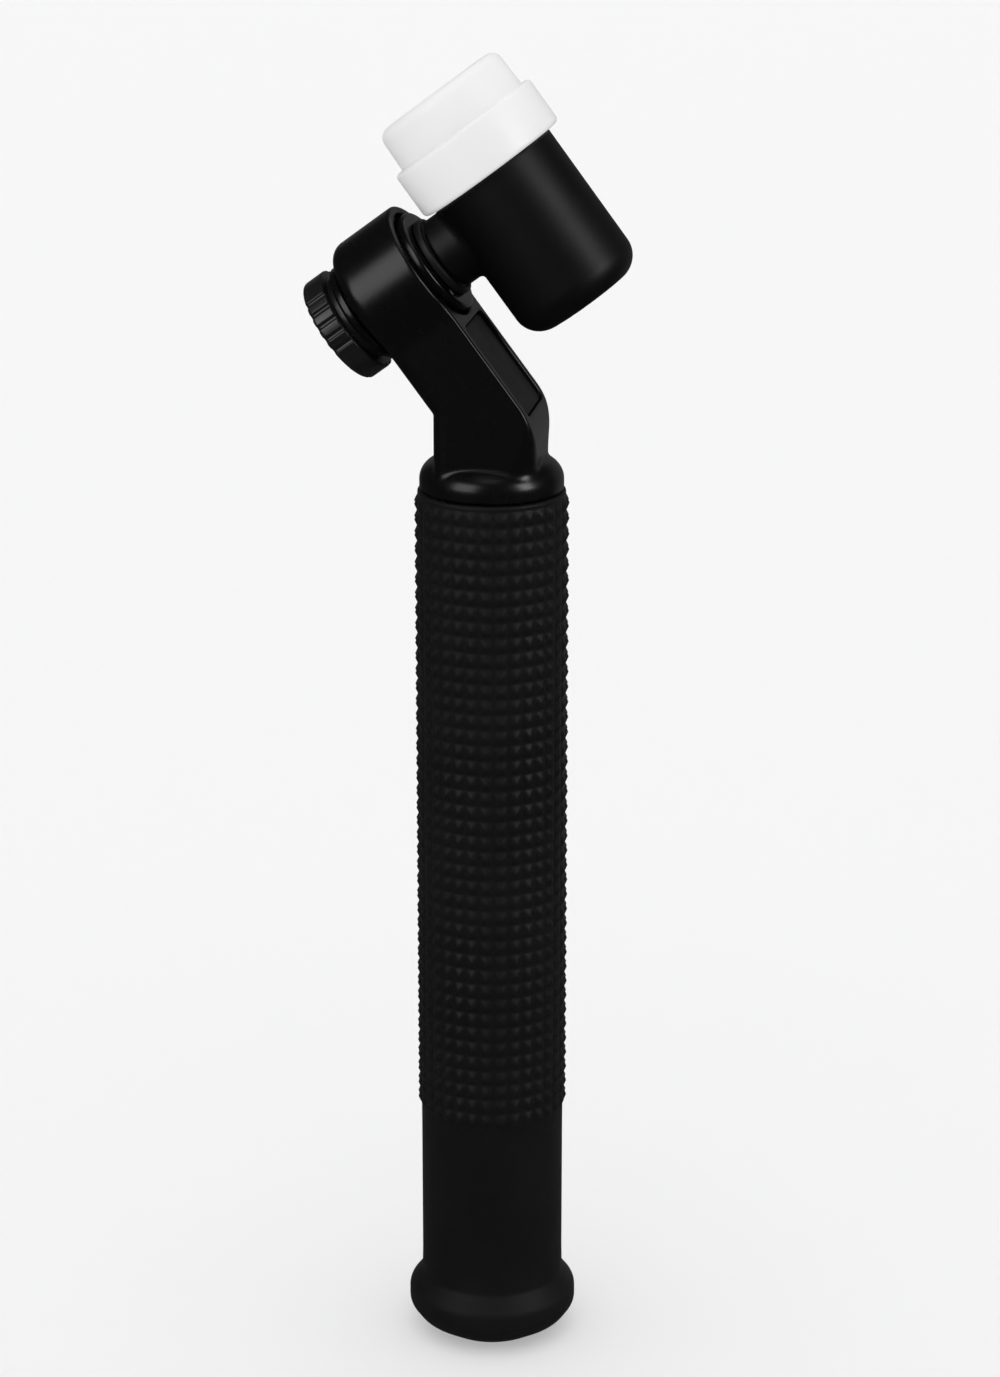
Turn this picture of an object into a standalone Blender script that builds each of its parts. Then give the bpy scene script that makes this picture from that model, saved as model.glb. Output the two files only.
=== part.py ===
"""TIG torch with a swivelling head: a hand grip, a bent neck that ends in a swivel barrel, a torch head
on a hollow stem that turns in the barrel, and a knob on the stem's thread that locks it.

The torch stands upright on the grip's rear flange.  +Z runs along the grip towards the neck, the torch
is symmetric about the XZ plane, and the head stands out to +X.  The origin is at the bottom centre of
the whole torch's bounding box.
"""
import math

import bmesh
import bpy
from mathutils import Matrix, Vector

MM = 0.001

# ---------------------------------------------------------------- driving dimensions
GAP = 0.3 * MM                    # clearance left between pieces that touch
WIDE_SIDES = 40                   # facets of the large round pieces
FINE_SIDES = 28                   # facets of the small round pieces

# grip and handle tube, measured up from the flange's standing face
GRIP_LENGTH = 137.0 * MM
GRIP_RADIUS = 11.0 * MM
GRIP_WALL = 1.7 * MM
TREAD_RISE = 0.4 * MM             # of the stretch that carries the raised tread
TREAD_START = 37.7 * MM
FLANGE_BEAD = 2.05 * MM           # how far the flange's bead stands out from the grip
FLANGE_LENGTH = 10.0 * MM
FLANGE_FOOT_INSET = 3.85 * MM     # of the standing face's edge from the bead
GRIP_FLOOR = 3.0 * MM
TUBE_WALL = 1.7 * MM
BUSH_LENGTH = 16.0 * MM
BUSH_WALL = 2.4 * MM

# collar and neck
COLLAR_INSET = 0.65 * MM          # of the collar's side from the tread's
COLLAR_HEIGHT = 4.3 * MM
COLLAR_CURVE = 2.6 * MM
SPIGOT_LENGTH = 18.0 * MM
SPIGOT_CLEAR = 0.8 * MM           # round the conduit's sleeve
SEAL_GROOVE_SHARE = 0.49          # of the spigot's wall
SPIGOT_SEAL_THICKNESS = 1.6 * MM
SPIGOT_SEAL_EASE = 0.1 * MM       # between the seal and the walls it presses on
NECK_DEPTH = 15.1 * MM            # along X
NECK_WIDTH = 16.6 * MM            # along Y, the arm's width too
NECK_CORNER = 2.4 * MM
BEND_RADIUS = 5.0 * MM

# swivel: the pivot axis leans from +Z towards +X
PIVOT_LEAN = math.radians(53.3)
HEAD_CENTRE_X = 3.7 * MM          # from the handle's axis
HEAD_RISE = 42.8 * MM             # of the head's centre above the grip's end
HEAD_REACH = 15.5 * MM            # from the arm's front face to the head's axis
ARM_THICKNESS = 11.6 * MM
BARREL_RADIUS = 10.2 * MM
BARREL_BLEND = 8.0 * MM           # radius of the blend from the barrel into the arm
FRONT_EDGE = 0.6 * MM             # rounding of the arm's front edge
BLANK_REACH = 60.0 * MM           # of the tool solids that shape the neck, past everything on it

# cover over the conduit's channel, in the arm's front face
COVER_TOP = 10.4 * MM             # from the pivot axis, down the arm
COVER_LENGTH = 15.0 * MM
COVER_WIDTH = 12.0 * MM
COVER_THICKNESS = 1.2 * MM
COVER_RECESS = 0.9 * MM
COVER_CORNER = 2.4 * MM
SLOT_MARGIN = 3.0 * MM            # the slot under the cover stops this far from the cover's ends

# swivel block, ring and seal, measured along the pivot axis from the arm's front face
BLOCK_RADIUS = 6.5 * MM
BARREL_FLOOR = 1.4 * MM           # the barrel's wall behind the block
JOURNAL_RADIUS = 3.6 * MM
RING_RADIUS = 8.3 * MM
RING_GROOVE = 0.6 * MM
RING_PROUD = 1.2 * MM
RING_SEAT_DEPTH = 1.5 * MM
RING_PIN_RADIUS = 0.55 * MM
RING_PIN_ANGLE = math.radians(-48.0)
SEAL_RADIUS = 6.3 * MM
SEAL_THICKNESS = 1.1 * MM

# stem
CLAMP_WALL = 0.25 * MM            # the clamp collar's wall outside the stop pin
STEM_BODY_STEP = 0.6 * MM         # of the stem's body over its journal
STEM_SPIGOT_RADIUS = 3.0 * MM
STEM_SPIGOT_LENGTH = 2.0 * MM     # into the head's brass body
STEM_BORE_RADIUS = 1.5 * MM
THREAD_RADIUS = 2.6 * MM
THREAD_LENGTH = 4.0 * MM
O_RING_SECTION = 1.1 * MM
O_RING_PROUD = 0.15 * MM          # of the journal, so that it seals in the bore
O_RING_PLACES = (-4.0 * MM, -8.5 * MM)
GAS_GROOVE_WIDTH = 1.8 * MM
GAS_GROOVE_DEPTH = 0.8 * MM
GAS_PORT_RADIUS = 0.7 * MM
STOP_PIN_RADIUS = 0.5 * MM
STOP_PIN_EASE = 0.2 * MM          # between the stop pin and its hole
STOP_CLEAR = 0.55 * MM            # between the journal and the stop pin
STOP_DEPTH = 1.2 * MM
SWIVEL_LIMIT = math.radians(90.0)

# lock knob and its washers, outwards from the barrel's back face
WASHER_RADIUS = 7.9 * MM
WASHER_THICKNESS = 1.2 * MM
KNOB_RADIUS = 8.4 * MM
KNOB_GRIP_LENGTH = 3.6 * MM
KNOB_HUB_RADIUS = 6.9 * MM
KNOB_HUB_LENGTH = 0.8 * MM
KNOB_WALL = 0.9 * MM
KNOB_EDGE = 0.6 * MM
INSERT_RADIUS = 4.6 * MM
SPRING_RADIUS = 5.5 * MM
SPRING_THICKNESS = 0.4 * MM
SPRING_RISE = 0.35 * MM
FLUTE_GROUPS = 3
FLUTES_PER_GROUP = 5
FLUTE_STEP = math.radians(14.0)
FLUTE_START = math.radians(253.5)  # middle of the first group, from down the arm towards +Y
FLUTE_RADIUS = 0.5 * MM

# torch head, measured along its axis from the pivot axis, + towards the cup end
HEAD_RADIUS = 9.95 * MM
HEAD_FRONT = 5.7 * MM
HEAD_REAR = -17.6 * MM
HEAD_CORNER = 4.0 * MM
STUB_RADIUS = 5.6 * MM
BODY_RADIUS = 6.5 * MM
BODY_SOCKET_RADIUS = 4.8 * MM
BODY_BORE_RADIUS = 2.6 * MM
BODY_FRONT_LENGTH = 5.0 * MM      # how far the brass body stands into the gasket
BODY_REAR_RECESS = 1.2 * MM
BODY_WEB = 8.0 * MM               # length of the narrow bore between the two sockets
GASKET_RIM_RADIUS = 11.9 * MM
GASKET_RIM_LENGTH = 7.4 * MM
GASKET_NOSE_RADIUS = 10.6 * MM
GASKET_NOSE_TIP_RADIUS = 10.4 * MM
GASKET_NOSE_LENGTH = 6.3 * MM
GASKET_MOUTH_RADIUS = 7.0 * MM

# conduit and power fitting, inside the handle
CONDUIT_RADIUS = 3.0 * MM
CONDUIT_BORE_RADIUS = 1.8 * MM
CONDUIT_BEND_RADIUS = 10.0 * MM
CONDUIT_DROP = 33.0 * MM          # of its lower end below the grip's end
SLEEVE_WALL = 0.9 * MM
SLEEVE_LENGTH = 16.0 * MM
FITTING_HEX_RADIUS = 5.4 * MM
FITTING_HEX_LENGTH = 9.0 * MM
FITTING_SOCKET_DEPTH = 7.0 * MM
FITTING_THREAD_RADIUS = 4.0 * MM
FITTING_THREAD_LENGTH = 10.0 * MM

# ---------------------------------------------------------------- derived places
TREAD_RADIUS = GRIP_RADIUS + TREAD_RISE
FLANGE_RADIUS = GRIP_RADIUS + FLANGE_BEAD
FLANGE_FOOT_RADIUS = FLANGE_RADIUS - FLANGE_FOOT_INSET
COLLAR_RADIUS = TREAD_RADIUS - COLLAR_INSET
TUBE_RADIUS = GRIP_RADIUS - GRIP_WALL
TUBE_BORE_RADIUS = TUBE_RADIUS - TUBE_WALL
BUSH_RADIUS = TUBE_BORE_RADIUS - GAP
BUSH_BORE_RADIUS = BUSH_RADIUS - BUSH_WALL
SPIGOT_RADIUS = TUBE_BORE_RADIUS - GAP
SLEEVE_BORE_RADIUS = CONDUIT_RADIUS + GAP
SLEEVE_RADIUS = SLEEVE_BORE_RADIUS + SLEEVE_WALL
SPIGOT_BORE_RADIUS = SLEEVE_RADIUS + SPIGOT_CLEAR
SEAL_GROOVE_RADIUS = SPIGOT_RADIUS - (SPIGOT_RADIUS - SPIGOT_BORE_RADIUS) * SEAL_GROOVE_SHARE
CHANNEL_RADIUS = CONDUIT_RADIUS + GAP
ALONG = Vector((math.sin(PIVOT_LEAN), 0.0, math.cos(PIVOT_LEAN)))        # pivot axis, towards the head
UP_ARM = Vector((-math.cos(PIVOT_LEAN), 0.0, math.sin(PIVOT_LEAN)))      # up the arm, towards the cup
HEAD_CENTRE = Vector((HEAD_CENTRE_X, 0.0, GRIP_LENGTH + HEAD_RISE))
ARM_FACE = HEAD_CENTRE - ALONG * HEAD_REACH
BLOCK_FRONT = -RING_SEAT_DEPTH
BLOCK_BACK = -ARM_THICKNESS + BARREL_FLOOR + GAP
CONDUIT_DEPTH = sum(O_RING_PLACES) / 2
STOP_CIRCLE = JOURNAL_RADIUS + STOP_CLEAR + STOP_PIN_RADIUS        # radius of the stop pin's path
CLAMP_RADIUS = STOP_CIRCLE + STOP_PIN_RADIUS + CLAMP_WALL          # the stem's clamp collar
STEM_BODY_RADIUS = JOURNAL_RADIUS + STEM_BODY_STEP
CONDUIT_END = GRIP_LENGTH - CONDUIT_DROP
SEAL_FRONT = RING_PROUD + GAP + SEAL_THICKNESS
STUB_END = SEAL_FRONT + GAP
WASHER_FACE = -ARM_THICKNESS - GAP
WASHER_BACK = WASHER_FACE - WASHER_THICKNESS
KNOB_FACE = WASHER_BACK - GAP
KNOB_BACK = KNOB_FACE - KNOB_HUB_LENGTH - KNOB_GRIP_LENGTH
GASKET_BACK = HEAD_FRONT + GAP
GASKET_STEP = GASKET_BACK + GASKET_RIM_LENGTH
GASKET_TIP = GASKET_STEP + GASKET_NOSE_LENGTH


# ---------------------------------------------------------------- scene, frames and materials
def clear_scene():
    for thing in list(bpy.data.objects):
        bpy.data.objects.remove(thing, do_unlink=True)
    for group in list(bpy.data.collections):
        bpy.data.collections.remove(group)


def new_collection(name):
    group = bpy.data.collections.new(name)
    bpy.context.scene.collection.children.link(group)
    return group


clear_scene()
PARTS = new_collection("tig_torch")
CUTTERS = new_collection("cutters")


def frame(name, parent=None, place=(0, 0, 0), lean=0.0):
    """An empty that holds pieces: placed in its parent's frame, and turned about Y."""
    holder = bpy.data.objects.new(name, None)
    PARTS.objects.link(holder)
    holder.parent = parent
    holder.location = place
    holder.rotation_euler = (0.0, lean, 0.0)
    return holder


def material(name, colour, roughness, metallic=0.0):
    surface = bpy.data.materials.new(name)
    surface.use_nodes = True
    shader = surface.node_tree.nodes["Principled BSDF"]
    shader.inputs["Base Color"].default_value = (*colour, 1.0)
    shader.inputs["Roughness"].default_value = roughness
    shader.inputs["Metallic"].default_value = metallic
    return surface


GRIP_RUBBER = (0.009, 0.009, 0.009)
GLOSSY_NYLON = (0.006, 0.006, 0.006)
HEAD_SILICONE = (0.010, 0.010, 0.012)
SEAL_RUBBER = (0.012, 0.012, 0.012)
WHITE_PTFE = (0.84, 0.84, 0.84)
PHENOLIC = (0.020, 0.014, 0.011)
BRASS = (0.62, 0.42, 0.16)
COPPER = (0.72, 0.36, 0.22)
STEEL = (0.52, 0.52, 0.54)
SLEEVE_RED = (0.35, 0.03, 0.02)


# ---------------------------------------------------------------- shape helpers
def add_object(name, mesh, holder, colour=None, roughness=0.5, metallic=0.0):
    """Put a mesh in the scene: as a part when it has a colour, as a hidden cutter when it has none."""
    thing = bpy.data.objects.new(name, mesh)
    thing.parent = holder
    if colour is None:
        CUTTERS.objects.link(thing)
        thing.hide_render = True
        thing.display_type = "WIRE"
    else:
        PARTS.objects.link(thing)
        mesh.materials.append(material(name, colour, roughness, metallic))
    return thing


def arc(centre_x, centre_z, radius, start, end, steps=5):
    """Points of an arc, from the start to the end angle in degrees."""
    points = []
    for step in range(steps + 1):
        angle = math.radians(start + (end - start) * step / steps)
        points.append((centre_x + radius * math.cos(angle), centre_z + radius * math.sin(angle)))
    return points


def turned(name, profile, holder, sides=FINE_SIDES, closed=True, **look):
    """A turned piece about its holder's Z axis.  The profile of (radius, height) points runs down the
    outer side; a closed one comes back up the inner side, and an open one starts and ends on the axis."""
    mesh = bpy.data.meshes.new(name)
    count = len(profile)
    edges = [(i, i + 1) for i in range(count - 1)]
    if closed:
        edges.append((count - 1, 0))
    mesh.from_pydata([(x, 0.0, z) for x, z in profile], edges, [])
    thing = add_object(name, mesh, holder, **look)
    screw = thing.modifiers.new("turn", "SCREW")
    screw.steps = sides
    screw.render_steps = sides
    screw.use_merge_vertices = True
    screw.merge_threshold = 0.000001
    screw.use_smooth_shade = False
    return thing


def rod(name, radius, bottom, top, holder, sides=FINE_SIDES, place=(0, 0), **look):
    """A plain cylinder along its holder's Z axis, or beside it at place."""
    mesh = bpy.data.meshes.new(name)
    work = bmesh.new()
    bmesh.ops.create_cone(work, cap_ends=True, segments=sides, radius1=radius, radius2=radius,
                          depth=top - bottom)
    bmesh.ops.translate(work, verts=work.verts, vec=(place[0], place[1], (top + bottom) / 2))
    work.to_mesh(mesh)
    work.free()
    return add_object(name, mesh, holder, **look)


def cross_rod(name, radius, start, end, height, holder, sides=FINE_SIDES, **look):
    """A cylinder along its holder's X axis, from start to end, at a height along Z."""
    thing = rod(name, radius, start, end, holder, sides, **look)
    turn = Matrix.Rotation(math.pi / 2, 4, "Y")
    thing.data.transform(Matrix.Translation((0, 0, height)) @ turn)
    return thing


def plate(name, outline, bottom, top, holder, **look):
    """A flat outline of (x, y) points, thickened along its holder's Z axis."""
    curve = bpy.data.curves.new(name, "CURVE")
    curve.dimensions = "2D"
    curve.fill_mode = "BOTH"
    curve.extrude = (top - bottom) / 2
    spline = curve.splines.new("POLY")
    spline.points.add(len(outline) - 1)
    for point, (x, y) in zip(spline.points, outline):
        point.co = (x, y, 0.0, 1.0)
    spline.use_cyclic_u = True
    flat = bpy.data.objects.new(name + "_outline", curve)
    CUTTERS.objects.link(flat)
    bpy.context.view_layer.update()
    evaluated = flat.evaluated_get(bpy.context.evaluated_depsgraph_get())
    mesh = bpy.data.meshes.new_from_object(evaluated)
    bpy.data.objects.remove(flat, do_unlink=True)
    weld_and_lift(mesh, (top + bottom) / 2)
    mesh.name = name
    return add_object(name, mesh, holder, **look)


def weld_and_lift(mesh, height):
    """Weld a filled curve's caps to its sides, face them outwards and raise it to its height."""
    work = bmesh.new()
    work.from_mesh(mesh)
    bmesh.ops.remove_doubles(work, verts=work.verts, dist=0.00001)
    bmesh.ops.dissolve_limit(work, angle_limit=0.001, verts=work.verts, edges=work.edges)
    bmesh.ops.recalc_face_normals(work, faces=work.faces)
    bmesh.ops.translate(work, verts=work.verts, vec=(0, 0, height))
    work.to_mesh(mesh)
    work.free()


def pipe(name, route, radius, holder, resolution=3, **look):
    """A solid round bar along a route of (x, y, z) points."""
    curve = bpy.data.curves.new(name, "CURVE")
    curve.dimensions = "3D"
    curve.bevel_depth = radius
    curve.bevel_resolution = resolution
    curve.use_fill_caps = True
    spline = curve.splines.new("POLY")
    spline.points.add(len(route) - 1)
    for point, place in zip(spline.points, route):
        point.co = (*place, 1.0)
    line = bpy.data.objects.new(name + "_route", curve)
    CUTTERS.objects.link(line)
    bpy.context.view_layer.update()
    evaluated = line.evaluated_get(bpy.context.evaluated_depsgraph_get())
    mesh = bpy.data.meshes.new_from_object(evaluated)
    bpy.data.objects.remove(line, do_unlink=True)
    weld_and_lift(mesh, 0.0)
    mesh.name = name
    return add_object(name, mesh, holder, **look)


def combine(thing, other, operation):
    step = thing.modifiers.new(operation.lower() + "_" + other.name, "BOOLEAN")
    step.operation = operation
    step.solver = "EXACT"
    step.object = other


def cut(thing, *cutters):
    for cutter in cutters:
        combine(thing, cutter, "DIFFERENCE")


def bake(thing):
    """Turn a piece's modifiers so far into its own mesh."""
    bpy.context.view_layer.update()
    evaluated = thing.evaluated_get(bpy.context.evaluated_depsgraph_get())
    mesh = bpy.data.meshes.new_from_object(evaluated)
    thing.modifiers.clear()
    thing.data = mesh


def round_edges(thing, width, segments, chosen):
    """Round the sharp edges of a baked mesh that the chosen test picks, by their two end points."""
    work = bmesh.new()
    work.from_mesh(thing.data)
    bmesh.ops.dissolve_limit(work, angle_limit=0.002, verts=work.verts, edges=work.edges)
    picked = []
    for edge in work.edges:
        if edge.is_manifold and edge.calc_face_angle() > math.radians(25) and chosen(edge):
            picked.append(edge)
    bmesh.ops.bevel(work, geom=picked, offset=width, segments=segments, profile=0.5,
                    affect="EDGES", clamp_overlap=True)
    bmesh.ops.remove_doubles(work, verts=work.verts, dist=0.000005)
    work.to_mesh(thing.data)
    work.free()


def round_rectangle(x_low, x_high, half_width, corner):
    """Outline of a rectangle with round corners, from x_low to x_high."""
    points = arc(x_high - corner, half_width - corner, corner, 0, 90)
    points += arc(x_low + corner, half_width - corner, corner, 90, 180)
    points += arc(x_low + corner, -half_width + corner, corner, 180, 270)
    points += arc(x_high - corner, -half_width + corner, corner, 270, 360)
    return points


# ---------------------------------------------------------------- frames of the assembly
ROOT = frame("torch_frame")
SWIVEL = frame("swivel_frame", ROOT, ARM_FACE, PIVOT_LEAN)                 # Z is the pivot axis
HEAD_JOINT = frame("head_joint", SWIVEL)                                  # turns about its Z
HEAD = frame("head_frame", HEAD_JOINT, (0, 0, HEAD_REACH), -math.pi / 2)   # Z is the head's axis
CARRIER_JOINT = frame("carrier_joint", HEAD_JOINT)                        # slides along its Z
KNOB_JOINT = frame("knob_joint", CARRIER_JOINT)                           # turns about its Z


def arm_point(down, along):
    """XZ place in the torch's frame of a point down the arm and along the pivot axis."""
    point = ARM_FACE - UP_ARM * down + ALONG * along
    return point.x, point.z


# ---------------------------------------------------------------- handle
def make_grip_sleeve():
    foot = 1.2 * MM
    bead_height = FLANGE_LENGTH * 0.5
    waist = FLANGE_LENGTH
    lip = 0.8 * MM
    profile = [
        (TUBE_RADIUS + GAP, GRIP_LENGTH),
        (TREAD_RADIUS - lip, GRIP_LENGTH),
        (TREAD_RADIUS, GRIP_LENGTH - lip),
        (TREAD_RADIUS, TREAD_START),
        (GRIP_RADIUS, TREAD_START - TREAD_RISE),
        (GRIP_RADIUS, waist + FLANGE_BEAD * 0.6),
        (GRIP_RADIUS + FLANGE_BEAD * 0.25, waist),
        (FLANGE_RADIUS - FLANGE_BEAD * 0.18, bead_height * 1.48),
        (FLANGE_RADIUS, bead_height),
        (FLANGE_RADIUS - FLANGE_BEAD * 0.5, foot * 2),
        (FLANGE_FOOT_RADIUS + 1.8 * MM, foot * 0.6),
        (FLANGE_FOOT_RADIUS, 0.0),
        (TUBE_BORE_RADIUS, 0.0),
        (TUBE_BORE_RADIUS, GRIP_FLOOR),
        (TUBE_RADIUS + GAP, GRIP_FLOOR),
    ]
    return turned("grip_sleeve", profile, ROOT, WIDE_SIDES, colour=GRIP_RUBBER, roughness=0.75)


def make_handle_tube():
    profile = [
        (TUBE_RADIUS, GRIP_LENGTH - GAP),
        (TUBE_RADIUS, GRIP_FLOOR + GAP),
        (TUBE_BORE_RADIUS, GRIP_FLOOR + GAP),
        (TUBE_BORE_RADIUS, GRIP_LENGTH - GAP),
    ]
    return turned("handle_tube", profile, ROOT, WIDE_SIDES, colour=PHENOLIC, roughness=0.5)


def make_rear_bush():
    lead = 1.0 * MM
    bottom = GRIP_FLOOR * 0.5
    profile = [
        (BUSH_RADIUS - lead, bottom + BUSH_LENGTH),
        (BUSH_RADIUS, bottom + BUSH_LENGTH - lead),
        (BUSH_RADIUS, bottom),
        (BUSH_BORE_RADIUS + lead, bottom),
        (BUSH_BORE_RADIUS, bottom + lead),
        (BUSH_BORE_RADIUS, bottom + BUSH_LENGTH),
    ]
    return turned("rear_bush", profile, ROOT, colour=SEAL_RUBBER, roughness=0.7)


# ---------------------------------------------------------------- neck, arm and barrel
def bend_corner(side, along):
    """Height on a neck side plane, at x = side, where the arm plane at this place along the axis meets it."""
    return HEAD_CENTRE.z + (along - HEAD_REACH - (side - HEAD_CENTRE.x) * ALONG.x) / ALONG.z


def side_outline():
    """The neck and the arm seen from -Y, as (x, z) points."""
    half = NECK_DEPTH / 2
    base = GRIP_LENGTH + GAP
    front_z = bend_corner(half, 0.0)
    back_z = bend_corner(-half, -ARM_THICKNESS)
    top = BARREL_RADIUS * 2
    turn = math.pi / 2 - PIVOT_LEAN
    reach = BEND_RADIUS * math.tan(turn / 2)
    bend = arc(half - BEND_RADIUS, front_z - reach, BEND_RADIUS, 0, math.degrees(turn), 4)
    return [(-half, base), (half, base)] + bend + [
        arm_point(-top, 0.0), arm_point(-top, -ARM_THICKNESS), (-half, back_z)]


def plan_outline():
    """The barrel and the arm seen along the pivot axis, as (down the arm, across) points."""
    half = NECK_WIDTH / 2
    blend_y = half + BARREL_BLEND
    blend_x = math.sqrt((BARREL_RADIUS + BARREL_BLEND) ** 2 - blend_y ** 2)
    lean = math.degrees(math.atan2(blend_y, blend_x))
    upper = arc(blend_x, blend_y, BARREL_BLEND, 270, 180 + lean, 4)
    lower = arc(blend_x, -blend_y, BARREL_BLEND, 180 - lean, 90, 4)
    barrel = arc(0, 0, BARREL_RADIUS, lean, 360 - lean, 24)
    return [(BLANK_REACH, half)] + upper + barrel[1:-1] + lower + [(BLANK_REACH, -half)]


def make_neck_blank():
    """The neck, arm and barrel without their bores: the side outline and the plan outline crossed."""
    upright = frame("side_view", ROOT)
    upright.rotation_euler = (math.pi / 2, 0, 0)
    blank = plate("neck_housing", side_outline(), -BLANK_REACH, BLANK_REACH, upright,
                  colour=GLOSSY_NYLON, roughness=0.22)
    plan = plate("plan_solid", plan_outline(), -BLANK_REACH, BLANK_REACH, SWIVEL)
    combine(blank, plan, "INTERSECT")
    bake(blank)
    stand_upright(blank)

    def depth(vertex):
        return (vertex.co - ARM_FACE).dot(ALONG)

    def on_front(edge):
        return all(abs(depth(v)) < 0.05 * MM for v in edge.verts)

    def low(edge):
        return all(v.co.z < GRIP_LENGTH + 2 * GAP for v in edge.verts)

    round_edges(blank, NECK_CORNER, 3, lambda edge: not on_front(edge) and not low(edge))
    round_edges(blank, FRONT_EDGE, 2, on_front)
    return blank


def stand_upright(thing):
    """Move a plate that was drawn in the side view into the torch's own frame."""
    thing.data.transform(Matrix.Rotation(math.pi / 2, 4, "X"))
    thing.parent = ROOT


def make_collar():
    top = GRIP_LENGTH + COLLAR_HEIGHT
    seal_top = GRIP_LENGTH - SPIGOT_LENGTH * 0.3
    seal_half = SPIGOT_SEAL_THICKNESS / 2 + GAP
    dome = arc(COLLAR_RADIUS - COLLAR_CURVE, top - COLLAR_CURVE, COLLAR_CURVE, 90, 0, 4)
    profile = [(0.0, top)] + dome + [
        (COLLAR_RADIUS, GRIP_LENGTH + GAP),
        (SPIGOT_RADIUS, GRIP_LENGTH + GAP),
        (SPIGOT_RADIUS, seal_top + seal_half),
        (SEAL_GROOVE_RADIUS, seal_top + seal_half),
        (SEAL_GROOVE_RADIUS, seal_top - seal_half),
        (SPIGOT_RADIUS, seal_top - seal_half),
        (SPIGOT_RADIUS, GRIP_LENGTH - SPIGOT_LENGTH),
        (0.0, GRIP_LENGTH - SPIGOT_LENGTH),
    ]
    return turned("collar_solid", profile, ROOT, WIDE_SIDES, closed=False)


def conduit_route(top_down):
    """The conduit's line: up the handle, round the bend, and up the arm to top_down from the pivot."""
    meet_down = (ARM_FACE.x + CONDUIT_DEPTH * ALONG.x) / UP_ARM.x
    meet_z = arm_point(meet_down, CONDUIT_DEPTH)[1]
    turn = math.pi / 2 - PIVOT_LEAN
    reach = CONDUIT_BEND_RADIUS * math.tan(turn / 2)
    bend = arc(-CONDUIT_BEND_RADIUS, meet_z - reach, CONDUIT_BEND_RADIUS, 0, math.degrees(turn), 5)
    route = [(0.0, CONDUIT_END)] + bend + [arm_point(top_down, CONDUIT_DEPTH)]
    return [(x, 0.0, z) for x, z in route]


def make_neck_housing():
    housing = make_neck_blank()
    combine(housing, make_collar(), "UNION")
    spigot_top = GRIP_LENGTH + COLLAR_HEIGHT * 0.4
    spigot_bottom = GRIP_LENGTH - SPIGOT_LENGTH - 1.0 * MM
    cut(housing, rod("spigot_bore", SPIGOT_BORE_RADIUS, spigot_bottom, spigot_top, ROOT, FINE_SIDES))
    cut(housing, pipe("conduit_channel", conduit_route(BLOCK_RADIUS * 0.8), CHANNEL_RADIUS, ROOT))
    floor = BLOCK_BACK - GAP
    cut(housing, rod("block_bore", BLOCK_RADIUS + GAP, floor, BLOCK_RADIUS, SWIVEL, WIDE_SIDES))
    cut(housing, rod("ring_seat", RING_RADIUS + RING_GROOVE, BLOCK_FRONT, BLOCK_RADIUS, SWIVEL, WIDE_SIDES))
    cut(housing, rod("stem_hole", THREAD_RADIUS + GAP, -ARM_THICKNESS - BLOCK_RADIUS, 0, SWIVEL))
    pocket_floor = -COVER_RECESS - COVER_THICKNESS - GAP
    pocket = round_rectangle(COVER_TOP - GAP, COVER_TOP + COVER_LENGTH + GAP,
                             COVER_WIDTH / 2 + GAP, COVER_CORNER + GAP)
    cut(housing, plate("cover_pocket", pocket, pocket_floor, BLOCK_RADIUS, SWIVEL))
    slot = round_rectangle(COVER_TOP + SLOT_MARGIN, COVER_TOP + COVER_LENGTH - SLOT_MARGIN,
                           CONDUIT_RADIUS, CONDUIT_RADIUS * 0.9)
    cut(housing, plate("channel_slot", slot, CONDUIT_DEPTH, pocket_floor + SLOT_MARGIN, SWIVEL))
    return housing


def make_spigot_seal():
    place = GRIP_LENGTH - SPIGOT_LENGTH * 0.3
    half = SPIGOT_SEAL_THICKNESS / 2
    outer = TUBE_BORE_RADIUS - SPIGOT_SEAL_EASE
    inner = SEAL_GROOVE_RADIUS + SPIGOT_SEAL_EASE
    middle = (outer + inner) / 2
    profile = [(middle, place + half), (outer, place + half * 0.4), (outer, place - half * 0.4),
               (middle, place - half), (inner, place - half * 0.4), (inner, place + half * 0.4)]
    return turned("spigot_seal", profile, ROOT, WIDE_SIDES, colour=SEAL_RUBBER, roughness=0.6)


def make_neck_cover():
    outline = round_rectangle(COVER_TOP, COVER_TOP + COVER_LENGTH, COVER_WIDTH / 2, COVER_CORNER)
    top = -COVER_RECESS
    return plate("neck_cover", outline, top - COVER_THICKNESS, top, SWIVEL,
                 colour=GLOSSY_NYLON, roughness=0.3)


# ---------------------------------------------------------------- conduit
def make_conduit_tube():
    tube = pipe("conduit_tube", conduit_route(JOURNAL_RADIUS + 3 * GAP), CONDUIT_RADIUS, ROOT,
                colour=COPPER, roughness=0.3, metallic=1.0)
    longer = conduit_route(JOURNAL_RADIUS - 3 * GAP)
    longer[0] = (0.0, 0.0, CONDUIT_END - 1.0 * MM)
    cut(tube, pipe("conduit_bore", longer, CONDUIT_BORE_RADIUS, ROOT, resolution=2))
    return tube


def make_conduit_sleeve():
    bottom = CONDUIT_END + FITTING_SOCKET_DEPTH + GAP
    profile = [(SLEEVE_RADIUS, bottom + SLEEVE_LENGTH), (SLEEVE_RADIUS, bottom),
               (SLEEVE_BORE_RADIUS, bottom), (SLEEVE_BORE_RADIUS, bottom + SLEEVE_LENGTH)]
    return turned("conduit_sleeve", profile, ROOT, colour=SLEEVE_RED, roughness=0.45)


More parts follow.
